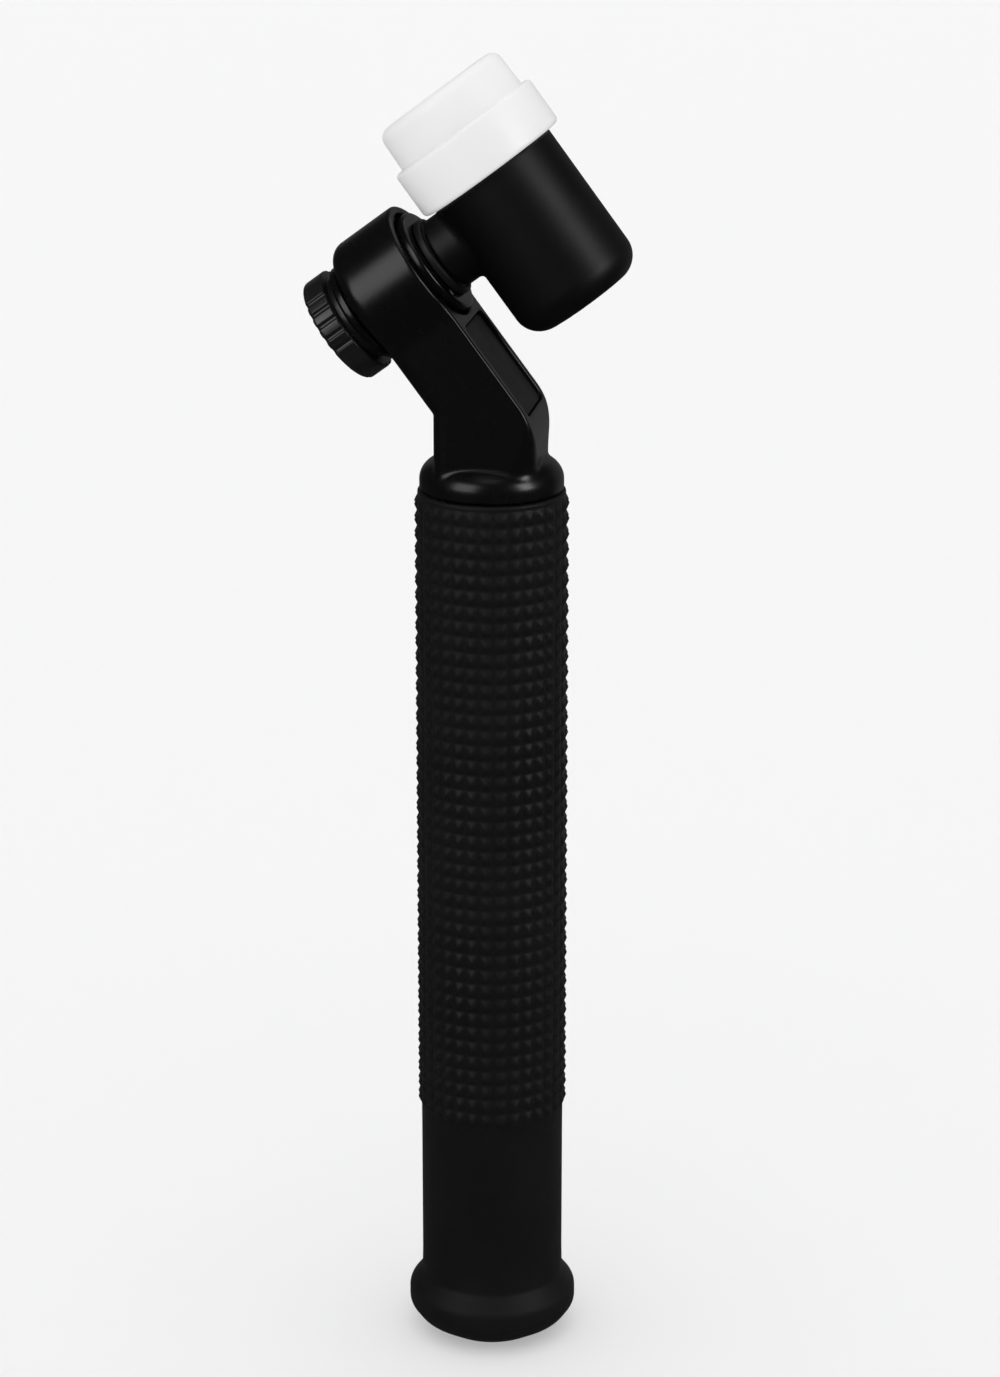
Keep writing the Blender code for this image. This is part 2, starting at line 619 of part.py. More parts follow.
def make_power_fitting():
    shoulder = CONDUIT_END - GAP
    hex_top = CONDUIT_END + FITTING_SOCKET_DEPTH
    hex_bottom = hex_top - FITTING_HEX_LENGTH
    thread_bottom = hex_bottom - FITTING_THREAD_LENGTH
    chamfer = 0.6 * MM
    fitting = rod("power_fitting", FITTING_HEX_RADIUS, hex_bottom, hex_top, ROOT, 6,
                  colour=BRASS, roughness=0.35, metallic=1.0)
    thread = [(0.0, hex_bottom + chamfer), (FITTING_THREAD_RADIUS, hex_bottom + chamfer),
              (FITTING_THREAD_RADIUS, thread_bottom + chamfer),
              (FITTING_THREAD_RADIUS - chamfer, thread_bottom), (0.0, thread_bottom)]
    combine(fitting, turned("fitting_thread", thread, ROOT, closed=False), "UNION")
    below = thread_bottom - chamfer
    cut(fitting, rod("fitting_bore", CONDUIT_BORE_RADIUS, below, hex_top + chamfer, ROOT))
    cut(fitting, rod("fitting_socket", CONDUIT_RADIUS + GAP, shoulder, hex_top + chamfer, ROOT))
    return fitting


# ---------------------------------------------------------------- swivel
def make_swivel_block():
    block = turned("swivel_block", [
        (BLOCK_RADIUS, BLOCK_FRONT), (BLOCK_RADIUS, BLOCK_BACK),
        (JOURNAL_RADIUS + GAP, BLOCK_BACK), (JOURNAL_RADIUS + GAP, BLOCK_FRONT)],
        SWIVEL, WIDE_SIDES, colour=BRASS, roughness=0.3, metallic=1.0)
    cut(block, cross_rod("conduit_hole", CHANNEL_RADIUS - GAP * 0.5, JOURNAL_RADIUS, BLOCK_RADIUS * 1.2,
                         CONDUIT_DEPTH, SWIVEL))
    play = math.asin((STOP_PIN_RADIUS + GAP) / STOP_CIRCLE)
    spread = math.degrees(SWIVEL_LIMIT + play)
    outer = STOP_CIRCLE + STOP_PIN_RADIUS + GAP
    sector = arc(0, 0, outer, 180 - spread, 180 + spread, 16)
    sector += arc(0, 0, JOURNAL_RADIUS, 180 + spread, 180 - spread, 16)
    cut(block, plate("stop_slot", sector, BLOCK_FRONT - STOP_DEPTH, 0.0, SWIVEL))
    return block


def make_swivel_ring():
    inner = CLAMP_RADIUS + GAP
    edge = 0.5 * MM
    bottom = BLOCK_FRONT + GAP
    profile = [(inner, RING_PROUD)] + arc(RING_RADIUS - edge, RING_PROUD - edge, edge, 90, 0, 3)
    profile += [(RING_RADIUS, bottom), (inner, bottom)]
    ring = turned("swivel_ring", profile, SWIVEL, WIDE_SIDES, colour=GLOSSY_NYLON, roughness=0.25)
    cut(ring, rod("ring_pin_hole", RING_PIN_RADIUS + GAP, BLOCK_FRONT, RING_PROUD * 2, SWIVEL, 12,
                  place=ring_pin_place()))
    return ring


def ring_pin_place():
    circle = (CLAMP_RADIUS + GAP + RING_RADIUS) / 2
    return circle * math.cos(RING_PIN_ANGLE), circle * math.sin(RING_PIN_ANGLE)


def make_ring_pin():
    return rod("ring_pin", RING_PIN_RADIUS, BLOCK_FRONT + GAP, RING_PROUD + GAP * 0.5, SWIVEL, 12,
               place=ring_pin_place(), colour=STEEL, roughness=0.35, metallic=1.0)


def make_dust_seal():
    inner = JOURNAL_RADIUS + 2 * GAP
    bottom = RING_PROUD + GAP
    lip = 0.3 * MM
    profile = [(inner, SEAL_FRONT), (SEAL_RADIUS - lip, SEAL_FRONT), (SEAL_RADIUS, SEAL_FRONT - lip),
               (SEAL_RADIUS, bottom), (inner, bottom)]
    return turned("dust_seal", profile, SWIVEL, WIDE_SIDES, colour=SEAL_RUBBER, roughness=0.6)


def make_swivel_stem():
    groove_half = O_RING_SECTION / 2 + GAP
    groove_floor = JOURNAL_RADIUS - O_RING_SECTION - GAP * 0.5
    gas_floor = JOURNAL_RADIUS - GAS_GROOVE_DEPTH
    gas_half = GAS_GROOVE_WIDTH / 2
    journal_end = BLOCK_BACK
    thread_end = -ARM_THICKNESS - THREAD_LENGTH
    neck_radius = JOURNAL_RADIUS + GAP
    body_start = STUB_END + GAP
    body_end = HEAD_REACH - BODY_RADIUS - GAP
    spigot_end = HEAD_REACH - BODY_RADIUS + STEM_SPIGOT_LENGTH
    profile = [(STEM_BORE_RADIUS, spigot_end), (STEM_SPIGOT_RADIUS, spigot_end),
               (STEM_SPIGOT_RADIUS, body_end), (STEM_BODY_RADIUS, body_end),
               (STEM_BODY_RADIUS, body_start), (neck_radius, body_start),
               (neck_radius, RING_PROUD), (CLAMP_RADIUS, RING_PROUD),
               (CLAMP_RADIUS, BLOCK_FRONT + GAP), (JOURNAL_RADIUS, BLOCK_FRONT + GAP)]
    grooves = [(O_RING_PLACES[0], groove_half, groove_floor), (CONDUIT_DEPTH, gas_half, gas_floor),
               (O_RING_PLACES[1], groove_half, groove_floor)]
    for place, half, floor in grooves:
        profile += [(JOURNAL_RADIUS, place + half), (floor, place + half),
                    (floor, place - half), (JOURNAL_RADIUS, place - half)]
    bore_end = CONDUIT_DEPTH - gas_half
    profile += [(JOURNAL_RADIUS, journal_end), (THREAD_RADIUS, journal_end), (THREAD_RADIUS, thread_end),
                (0.0, thread_end)]
    profile = [(0.0, bore_end), (STEM_BORE_RADIUS, bore_end)] + profile
    stem = turned("swivel_stem", profile, HEAD_JOINT, closed=False, colour=BRASS, roughness=0.25,
                  metallic=1.0)
    cut(stem, cross_rod("gas_port", GAS_PORT_RADIUS, 0.0, JOURNAL_RADIUS * 1.2, CONDUIT_DEPTH, HEAD_JOINT, 12))
    cut(stem, rod("stop_pin_hole", STOP_PIN_RADIUS + STOP_PIN_EASE, BLOCK_FRONT - GAP, RING_PROUD * 0.6,
                  HEAD_JOINT, 12, place=(-STOP_CIRCLE, 0)))
    return stem


def make_stop_pin():
    return rod("stop_pin", STOP_PIN_RADIUS, BLOCK_FRONT - STOP_DEPTH + GAP, RING_PROUD * 0.6 - GAP,
               HEAD_JOINT, 12, place=(-STOP_CIRCLE, 0), colour=STEEL, roughness=0.3, metallic=1.0)


def make_o_rings():
    radius = O_RING_SECTION / 2
    centre = JOURNAL_RADIUS - radius + O_RING_PROUD
    for name, place in zip(("stem_o_ring_front", "stem_o_ring_rear"), O_RING_PLACES):
        circle = arc(centre, place, radius, 90, -225, 7)
        turned(name, circle, HEAD_JOINT, colour=SEAL_RUBBER, roughness=0.5)


# ---------------------------------------------------------------- head
def make_head_cover():
    bore = BODY_RADIUS + GAP
    corner = arc(HEAD_RADIUS - HEAD_CORNER, HEAD_REAR + HEAD_CORNER, HEAD_CORNER, 0, -78, 7)
    cover = turned("head_cover", [(0.0, HEAD_FRONT), (HEAD_RADIUS, HEAD_FRONT)] + corner
                   + [(0.0, corner[-1][1])], HEAD, WIDE_SIDES, closed=False,
                   colour=HEAD_SILICONE, roughness=0.38)
    stub = cross_rod("stub_solid", STUB_RADIUS, STUB_END - HEAD_REACH, -BODY_RADIUS, 0.0, HEAD, WIDE_SIDES)
    combine(cover, stub, "UNION")
    cut(cover, rod("head_bore", bore, HEAD_REAR * 1.5, HEAD_FRONT * 2, HEAD, WIDE_SIDES))
    cut(cover, cross_rod("stub_bore", STEM_BODY_RADIUS + GAP, -HEAD_REACH * 1.2, -BODY_RADIUS * 0.9, 0.0,
                         HEAD, WIDE_SIDES))
    return cover


def make_head_body():
    front = GASKET_BACK + BODY_FRONT_LENGTH
    rear = HEAD_REAR + BODY_REAR_RECESS
    web = BODY_WEB / 2
    lead = 0.5 * MM
    body = turned("head_body", [
        (BODY_RADIUS - lead, front), (BODY_RADIUS, front - lead), (BODY_RADIUS, rear),
        (BODY_SOCKET_RADIUS, rear), (BODY_SOCKET_RADIUS, -web), (BODY_BORE_RADIUS, -web),
        (BODY_BORE_RADIUS, web), (BODY_SOCKET_RADIUS, web), (BODY_SOCKET_RADIUS, front)],
        HEAD, WIDE_SIDES, colour=BRASS, roughness=0.3, metallic=1.0)
    cut(body, cross_rod("stem_socket", STEM_SPIGOT_RADIUS + GAP, -HEAD_REACH,
                        STEM_SPIGOT_LENGTH - BODY_RADIUS + GAP, 0.0, HEAD))
    cut(body, cross_rod("gas_inlet", STEM_BORE_RADIUS, -HEAD_REACH, 0.0, 0.0, HEAD, 16))
    return body


def make_cup_gasket():
    edge = 0.9 * MM
    round_tip = 1.8 * MM
    seat = BODY_RADIUS + GAP
    step = GASKET_BACK + BODY_FRONT_LENGTH + GAP
    tip = arc(GASKET_NOSE_TIP_RADIUS - round_tip, GASKET_TIP - round_tip, round_tip, 90, 0, 4)
    rim_top = arc(GASKET_RIM_RADIUS - edge, GASKET_STEP - edge, edge, 90, 0, 3)
    profile = [(GASKET_MOUTH_RADIUS, GASKET_TIP)] + tip + [(GASKET_NOSE_RADIUS, GASKET_STEP)] + rim_top
    profile += [(GASKET_RIM_RADIUS, GASKET_BACK + edge * 0.5), (GASKET_RIM_RADIUS - edge * 0.5, GASKET_BACK),
                (seat, GASKET_BACK), (seat, step), (GASKET_MOUTH_RADIUS, step)]
    return turned("cup_gasket", profile, HEAD, WIDE_SIDES, colour=WHITE_PTFE, roughness=0.5)


# ---------------------------------------------------------------- lock knob
def make_thrust_washer():
    inner = THREAD_RADIUS + GAP
    edge = 0.25 * MM
    profile = [(inner, WASHER_FACE), (WASHER_RADIUS - edge, WASHER_FACE), (WASHER_RADIUS, WASHER_FACE - edge),
               (WASHER_RADIUS, WASHER_BACK + edge), (WASHER_RADIUS - edge, WASHER_BACK), (inner, WASHER_BACK)]
    return turned("thrust_washer", profile, CARRIER_JOINT, WIDE_SIDES, colour=GLOSSY_NYLON, roughness=0.25)


def make_spring_washer():
    inner = THREAD_RADIUS + GAP
    high = WASHER_BACK - GAP
    low = high - SPRING_RISE
    profile = [(inner, low), (SPRING_RADIUS, high), (SPRING_RADIUS, high - SPRING_THICKNESS),
               (inner, low - SPRING_THICKNESS)]
    return turned("spring_washer", profile, CARRIER_JOINT, colour=STEEL, roughness=0.3, metallic=1.0)


def make_lock_knob():
    pocket = SPRING_RADIUS + GAP
    pocket_floor = KNOB_FACE - SPRING_RISE - SPRING_THICKNESS - GAP
    insert_pocket = INSERT_RADIUS + GAP
    back_wall = KNOB_BACK + KNOB_WALL
    shoulder = KNOB_BACK + KNOB_GRIP_LENGTH
    rim = arc(KNOB_RADIUS - KNOB_EDGE, KNOB_BACK + KNOB_EDGE, KNOB_EDGE, 0, -90, 3)
    profile = [(0.0, back_wall), (insert_pocket, back_wall), (insert_pocket, pocket_floor),
               (pocket, pocket_floor), (pocket, KNOB_FACE), (KNOB_HUB_RADIUS, KNOB_FACE),
               (KNOB_HUB_RADIUS, shoulder), (KNOB_RADIUS, shoulder)] + rim + [(0.0, KNOB_BACK)]
    knob = turned("lock_knob", profile, KNOB_JOINT, WIDE_SIDES, closed=False,
                  colour=GLOSSY_NYLON, roughness=0.28)
    circle = KNOB_RADIUS + FLUTE_RADIUS * 0.3
    for group in range(FLUTE_GROUPS):
        middle = FLUTE_START + group * 2 * math.pi / FLUTE_GROUPS
        for flute in range(FLUTES_PER_GROUP):
            angle = middle + (flute - (FLUTES_PER_GROUP - 1) / 2) * FLUTE_STEP
            place = (circle * math.cos(angle), circle * math.sin(angle))
            cut(knob, rod(f"flute_{group}_{flute}", FLUTE_RADIUS, KNOB_BACK - KNOB_WALL,
                          shoulder + GAP, KNOB_JOINT, 10, place=place))
    return knob


def make_knob_insert():
    bottom = KNOB_BACK + KNOB_WALL + GAP
    top = KNOB_FACE - SPRING_RISE - SPRING_THICKNESS - 2 * GAP
    insert = rod("knob_insert", INSERT_RADIUS, bottom, top, KNOB_JOINT, 8, colour=BRASS, roughness=0.35,
                 metallic=1.0)
    cut(insert, rod("insert_bore", THREAD_RADIUS + GAP, bottom - KNOB_WALL, top + KNOB_WALL, KNOB_JOINT,
                    FINE_SIDES))
    return insert


# ---------------------------------------------------------------- assembly
def world_corners(thing):
    evaluated = thing.evaluated_get(bpy.context.evaluated_depsgraph_get())
    mesh = evaluated.to_mesh()
    places = [evaluated.matrix_world @ vertex.co for vertex in mesh.vertices]
    evaluated.to_mesh_clear()
    return places


def stand_on_origin():
    """Move the torch so that its bounding box stands centred over the origin."""
    bpy.context.view_layer.update()
    xs = []
    for thing in PARTS.objects:
        if thing.type == "MESH":
            xs += [place.x for place in world_corners(thing)]
    ROOT.location.x = -(min(xs) + max(xs)) / 2
    bpy.context.view_layer.update()


def main():
    make_grip_sleeve()
    make_handle_tube()
    make_rear_bush()
    make_neck_housing()
    make_spigot_seal()
    make_neck_cover()
    make_conduit_tube()
    make_conduit_sleeve()
    make_power_fitting()
    make_swivel_block()
    make_swivel_ring()
    make_ring_pin()
    make_dust_seal()
    make_swivel_stem()
    make_stop_pin()
    make_o_rings()
    make_head_cover()
    make_head_body()
    make_cup_gasket()
    make_thrust_washer()
    make_spring_washer()
    make_lock_knob()
    make_knob_insert()
    stand_on_origin()


main()
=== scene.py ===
"""Looks of the TIG torch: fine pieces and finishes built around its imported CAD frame.

Lengths are in millimetres inside the shape functions and in metres in the scene.  Each fine piece is
drawn in the frame of the CAD piece it stands for:
  HANDLE  origin at the middle of the grip's foot, Z up the handle
  SWIVEL  origin where the pivot axis leaves the arm's front face, X down the arm, Z along the pivot
  HEAD    origin at the head's centre, X along the pivot, Z towards the cup
"""
import math

import bpy
import numpy as np
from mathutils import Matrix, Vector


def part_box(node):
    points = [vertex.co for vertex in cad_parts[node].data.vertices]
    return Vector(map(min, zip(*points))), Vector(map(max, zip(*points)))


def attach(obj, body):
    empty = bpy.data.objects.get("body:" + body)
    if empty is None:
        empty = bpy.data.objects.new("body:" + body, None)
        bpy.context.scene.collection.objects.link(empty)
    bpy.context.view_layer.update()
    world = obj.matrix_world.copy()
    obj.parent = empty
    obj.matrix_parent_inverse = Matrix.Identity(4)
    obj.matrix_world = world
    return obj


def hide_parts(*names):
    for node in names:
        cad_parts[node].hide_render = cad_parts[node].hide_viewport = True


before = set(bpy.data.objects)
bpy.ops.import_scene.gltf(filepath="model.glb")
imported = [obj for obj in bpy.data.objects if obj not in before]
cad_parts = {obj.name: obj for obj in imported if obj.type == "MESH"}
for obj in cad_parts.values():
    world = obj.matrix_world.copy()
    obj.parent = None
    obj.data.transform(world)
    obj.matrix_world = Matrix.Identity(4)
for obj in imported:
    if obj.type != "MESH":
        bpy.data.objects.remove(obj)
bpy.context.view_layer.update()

MM = 0.001

# ---------------------------------------------------------------- sizes, mm
GAP = 0.3                         # clearance between solids that touch
SEAM = 0.14                       # seam that shows round the cover plate

# grip and tube, heights above the standing face
GRIP_LENGTH = 137.0
GRIP_RADIUS = 11.0
GRIP_FLOOR = 3.0
SLEEVE_BORE = 9.6
SMOOTH_RADIUS = 10.98
TUBE_RADIUS = 9.3
TUBE_BORE = 7.6
FOOT_RADIUS = 8.1
BEAD_RADIUS = 13.05
BEAD_LOW = 4.2
BEAD_HIGH = 7.0
BEAD_TOP = 9.5                    # where the bead has run out into the smooth stretch
STUD_ROWS = 41
STUD_COLUMNS = 32
STUD_PITCH = 2.39
STUD_HEIGHT = 0.5
STUD_FOOT = 0.08                  # of the ground between the studs over GRIP_RADIUS
STUD_SPREAD = 0.92                # share of its square that a stud covers
STUD_BLUNT = 0.12                 # how much a stud's sides round over towards its tip
STUD_FADE_LOW = 0.5               # height over which the first row comes in, mm
STUD_FADE_TOP = 0.4               # and over which the last row ends
FIRST_STUD = 135.05

# pivot and arm
PIVOT_LEAN = math.radians(53.3)
HEAD_SIDE = 3.7
HEAD_RISE = 42.8
HEAD_REACH = 15.5
ARM_THICKNESS = 11.6
BARREL_RADIUS = 10.2
NECK_HALF_DEPTH = 7.55
NECK_HALF_WIDTH = 8.3
CHEST_SWELL = 0.12                # of the neck's front over its half depth
BLEND_RADIUS = 8.0                # from the barrel into the arm
BLEND_ACROSS = NECK_HALF_WIDTH + BLEND_RADIUS
BLEND_DOWN = math.sqrt((BARREL_RADIUS + BLEND_RADIUS) ** 2 - BLEND_ACROSS ** 2)
BEND_RADIUS = 11.0
BACK_CORNER = 2.2
FRONT_EDGE = 0.5                  # rounding of the arm's front edge
CHEST_EDGE = 3.6                  # and what it grows to below the bend

# collar and spigot, heights above the grip's end
COLLAR_RADIUS = 10.75
COLLAR_HEIGHT = 4.7
COLLAR_ROUND = 3.1
COLLAR_FILLET = 0.4
SPIGOT_RADIUS = 7.3
SPIGOT_SPAN = (-18.0, 0.8)
SPIGOT_BORE = 5.0
SPIGOT_BORE_END = 1.7
SEAL_GROOVE_RADIUS = 6.2
SEAL_GROOVE_SPAN = (-6.5, -4.3)

# what is cut into the arm and the barrel
RING_GROOVE = 0.6
RING_SEAT = 1.5
BLOCK_RADIUS = 6.5
BLOCK_DEPTH = 10.2
STEM_HOLE = 2.9
CHANNEL_RADIUS = 3.3
CHANNEL_DEPTH = 6.25              # of the channel's middle below the front face
CHANNEL_SPAN = (5.0, 19.0)
CHUTE_SIDE = -0.3                 # of the chute's middle from the handle's axis
CHUTE_SPAN = (0.0, 17.0)

# cover plate, a little larger than its solid
COVER_TOP = 10.0
COVER_LENGTH = 15.8
COVER_WIDTH = 13.0
COVER_RECESS = 0.5
COVER_THICKNESS = 1.6
COVER_CORNER = 1.2
COVER_MIDDLE = COVER_TOP + COVER_LENGTH / 2

# ring, pin and seal
RING_RADIUS = 8.3
RING_PROUD = 1.2
CLAMP_RADIUS = 5.4
PIN_RADIUS = 0.55
PIN_PROUD = 0.15                  # over the ring
PIN_ANGLE = math.radians(-48.0)
PIN_CIRCLE = (CLAMP_RADIUS + GAP + RING_RADIUS) / 2
SEAL_LIFT = 0.08
SEAL_RADIUS = 6.3
SEAL_THICKNESS = 1.1
SEAL_DISH = 0.75                  # height of the groove's floor in the seal's face

# head
STEM_RADIUS = 4.2
BODY_RADIUS = 6.5
JACKET_RADIUS = 9.95
JACKET_TOP = 5.93
JACKET_BOTTOM = -17.6
JACKET_CORNER = 4.0
STUB_RADIUS = 5.6
STUB_REACH = 12.95
STUB_FILLET = 0.9
RIM_RADIUS = 11.9
RIM_TOP = 13.4
NOSE_RADIUS = 10.6
NOSE_TIP_RADIUS = 10.4
NOSE_TOP = 19.7
GASKET_MOUTH = 7.0
GASKET_SEAT = 6.8
GASKET_BACK = 6.0
SEAT_TOP = 11.3
BODY_FRONT = 11.0
BODY_REAR = -16.4
BODY_WEB = 4.0
BODY_BORE = 2.6
SOCKET_RADIUS = 4.8
SOCKET_MOUTH = 5.2
THREAD_PITCH = 0.8
THREAD_DEPTH = 0.25

# knob and thrust washer, along the pivot from the arm's front face
KNOB_BACK = -17.8
KNOB_SHOULDER = -14.2
KNOB_FACE = -13.4
KNOB_RADIUS = 8.4
KNOB_EDGE = 0.6
HUB_RADIUS = 6.9
DISH_RADIUS = 5.6
DISH_DEPTH = 0.35
BOSS_RADIUS = 2.1
INSERT_POCKET = 4.9
INSERT_WALL = 0.9
SPRING_POCKET = 5.8
SPRING_FLOOR = -14.45
FLUTE_RADIUS = 0.38
FLUTE_CIRCLE = 8.45
FLUTE_STEP = 14.0
FLUTE_START = 253.5
FLUTE_GROUPS = 3
FLUTES_IN_GROUP = 5
FLUTE_ANGLES = [math.radians(FLUTE_START + group * 360 / FLUTE_GROUPS
                             + (flute - (FLUTES_IN_GROUP - 1) / 2) * FLUTE_STEP)
                for group in range(FLUTE_GROUPS) for flute in range(FLUTES_IN_GROUP)]
WASHER_RADIUS = 7.9
WASHER_SPAN = (-13.1, -11.9)


# ---------------------------------------------------------------- frames
class Place:
    """A right-handed frame: its origin in metres, and its X and Z axes."""

    def __init__(self, origin, x_axis, z_axis):
        self.origin = np.array(origin, float)
        x_axis, z_axis = np.array(x_axis, float), np.array(z_axis, float)
        self.axes = np.column_stack([x_axis, np.cross(z_axis, x_axis), z_axis])

    def world(self, points):
        """From millimetres in this frame to metres in the scene."""
        return self.origin + np.asarray(points, float) @ self.axes.T * MM


GRIP_LOW, GRIP_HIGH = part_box("grip_sleeve")
AXIS_X = (GRIP_LOW.x + GRIP_HIGH.x) / 2
SINE, COSINE = math.sin(PIVOT_LEAN), math.cos(PIVOT_LEAN)
HEAD_CENTRE = np.array([AXIS_X + HEAD_SIDE * MM, 0.0, GRIP_HIGH.z + HEAD_RISE * MM])
PIVOT = np.array([SINE, 0.0, COSINE])
HANDLE = Place((AXIS_X, 0, 0), (1, 0, 0), (0, 0, 1))
SWIVEL = Place(HEAD_CENTRE - PIVOT * HEAD_REACH * MM, (COSINE, 0, -SINE), PIVOT)
HEAD = Place(HEAD_CENTRE, PIVOT, (-COSINE, 0, SINE))
FACE_SIDE = HEAD_SIDE - HEAD_REACH * SINE          # the swivel origin from the handle's axis
FACE_RISE = HEAD_RISE - HEAD_REACH * COSINE        # and above the grip's end


# ---------------------------------------------------------------- materials
CLOUD_RATIO = 1.7                 # scale of the colour's clouds over that of the smudges
SCATTER = 0.004                   # how far light travels inside a translucent piece, m
GRAIN_DEPTH = 0.0001              # m


def finish(name, colour, rough, metallic=0.0, mottle=0.12, grain=(2600, 0.05), smudge=(70, 0.08), sheen=0.0,
           subsurface=0.0, stretch=None, worn=None, specular=0.5):
    """A procedural finish: cloudy colour and roughness, fine grain in the surface, worn raised edges.

    grain is the scale and strength of the bump, smudge the scale and spread of the roughness, and worn
    the colour of raised edges with the low and high curvature between which it comes in.
    """
    material = bpy.data.materials.new(name)
    material.use_nodes = True
    nodes, links = material.node_tree.nodes, material.node_tree.links
    shader = nodes["Principled BSDF"]
    shader.inputs["Metallic"].default_value = metallic
    shader.inputs["Sheen Weight"].default_value = sheen
    shader.inputs["Specular IOR Level"].default_value = specular
    if subsurface:
        shader.inputs["Subsurface Weight"].default_value = subsurface
        shader.inputs["Subsurface Radius"].default_value = (SCATTER, SCATTER, SCATTER)
        shader.inputs["Subsurface Scale"].default_value = 1.0
    where = nodes.new("ShaderNodeTexCoord").outputs["Object"]
    if stretch:
        mapping = nodes.new("ShaderNodeMapping")
        mapping.inputs["Scale"].default_value = stretch
        links.new(where, mapping.inputs["Vector"])
        where = mapping.outputs["Vector"]

    def noise(scale, detail=3.0):
        texture = nodes.new("ShaderNodeTexNoise")
        texture.inputs["Scale"].default_value = scale
        texture.inputs["Detail"].default_value = detail
        links.new(where, texture.inputs["Vector"])
        return texture.outputs["Fac"]

    def ramp(source, low, high, left=0.3, right=0.7):
        steps = nodes.new("ShaderNodeValToRGB")
        steps.color_ramp.interpolation = "EASE"
        steps.color_ramp.elements[0].position, steps.color_ramp.elements[1].position = left, right
        steps.color_ramp.elements[0].color, steps.color_ramp.elements[1].color = (*low, 1), (*high, 1)
        links.new(source, steps.inputs["Fac"])
        return steps.outputs["Color"]

    darker = [c * (1 - mottle) for c in colour]
    lighter = [min(1.0, c * (1 + mottle)) for c in colour]
    shade = ramp(noise(smudge[0] * CLOUD_RATIO), darker, lighter)
    if worn:
        mix = nodes.new("ShaderNodeMix")
        mix.data_type = "RGBA"
        edge = ramp(nodes.new("ShaderNodeNewGeometry").outputs["Pointiness"], (0, 0, 0), (1, 1, 1), *worn[1])
        links.new(edge, mix.inputs["Factor"])
        links.new(shade, mix.inputs["A"])
        mix.inputs["B"].default_value = (*worn[0], 1)
        shade = mix.outputs["Result"]
    links.new(shade, shader.inputs["Base Color"])
    spread = nodes.new("ShaderNodeMapRange")
    spread.interpolation_type = "SMOOTHERSTEP"
    spread.inputs["From Min"].default_value, spread.inputs["From Max"].default_value = 0.3, 0.7
    spread.inputs["To Min"].default_value = max(0.02, rough - smudge[1])
    spread.inputs["To Max"].default_value = min(1.0, rough + smudge[1])
    links.new(noise(smudge[0]), spread.inputs["Value"])
    links.new(spread.outputs["Result"], shader.inputs["Roughness"])
    bump = nodes.new("ShaderNodeBump")
    bump.inputs["Strength"].default_value = grain[1]
    bump.inputs["Distance"].default_value = GRAIN_DEPTH
    links.new(noise(grain[0], 2.0), bump.inputs["Height"])
    links.new(bump.outputs["Normal"], shader.inputs["Normal"])
    return material


BLACK = (0.0020, 0.0020, 0.0020)
GRIP_RUBBER = finish("moulded_grip_rubber", (0.0044, 0.0044, 0.0044), 0.54, grain=(3200, 0.12),
                     smudge=(45, 0.07), worn=((0.0085, 0.0085, 0.0085), (0.51, 0.60)), specular=0.27,
                     sheen=0.02)
NECK_NYLON = finish("glossy_neck_nylon", BLACK, 0.28, mottle=0.05, grain=(900, 0.003), smudge=(60, 0.015))
COVER_NYLON = finish("satin_cover_nylon", (0.0040, 0.0040, 0.0042), 0.50, grain=(2400, 0.10),
                     smudge=(80, 0.04))
RING_NYLON = finish("glossy_ring_nylon", BLACK, 0.20, grain=(1200, 0.008), smudge=(90, 0.05))
WASHER_NYLON = finish("glossy_washer_nylon", BLACK, 0.20, grain=(1200, 0.008), smudge=(90, 0.05))
KNOB_NYLON = finish("satin_knob_nylon", (0.0070, 0.0070, 0.0070), 0.30, grain=(2600, 0.09), smudge=(90, 0.07),
                    worn=((0.012, 0.012, 0.012), (0.53, 0.62)), specular=0.75)
HEAD_SILICONE = finish("satin_head_silicone", (0.0018, 0.0017, 0.0026), 0.50, grain=(2800, 0.10),
                       smudge=(55, 0.05), specular=0.36)
SEAL_RUBBER = finish("seal_rubber", (0.006, 0.006, 0.006), 0.5, grain=(3000, 0.15))
BUSH_RUBBER = finish("bush_rubber", (0.008, 0.008, 0.008), 0.6, grain=(2600, 0.20))
PTFE = finish("white_ptfe", (0.90, 0.895, 0.90), 0.42, mottle=0.012, grain=(2200, 0.05), smudge=(60, 0.06),
              subsurface=0.15)
PHENOLIC = finish("phenolic_tube", (0.022, 0.014, 0.010), 0.45, mottle=0.3, grain=(1200, 0.15),
                  stretch=(1, 1, 0.2))
BRASS = finish("turned_brass", (0.64, 0.43, 0.17), 0.26, metallic=1.0, mottle=0.10, grain=(1500, 0.10),
               smudge=(160, 0.08))
FITTING_BRASS = finish("drawn_brass", (0.60, 0.40, 0.16), 0.33, metallic=1.0, mottle=0.15,
                       grain=(1800, 0.15), smudge=(120, 0.10), stretch=(1, 1, 0.15))
COPPER = finish("drawn_copper", (0.74, 0.37, 0.23), 0.30, metallic=1.0, mottle=0.18, grain=(1600, 0.12),
                smudge=(140, 0.10), stretch=(1, 1, 0.12))
SPRING_STEEL = finish("spring_steel", (0.45, 0.45, 0.48), 0.28, metallic=1.0, grain=(2000, 0.08))
PIN_STEEL = finish("ground_pin_steel", (0.30, 0.30, 0.32), 0.32, metallic=1.0, grain=(2600, 0.08))
SLEEVE_PLASTIC = finish("heat_shrink_sleeve", (0.32, 0.025, 0.018), 0.42, mottle=0.15, grain=(1400, 0.12))


# ---------------------------------------------------------------- making pieces
POLE = 1e-6                       # an outline point nearer the axis than this is a pole
SLOPE_STEP = 0.01                 # for measuring a field's slope, mm
SETTLE_ROUNDS = 5
SLAB = 12                         # grid planes filled in at a time


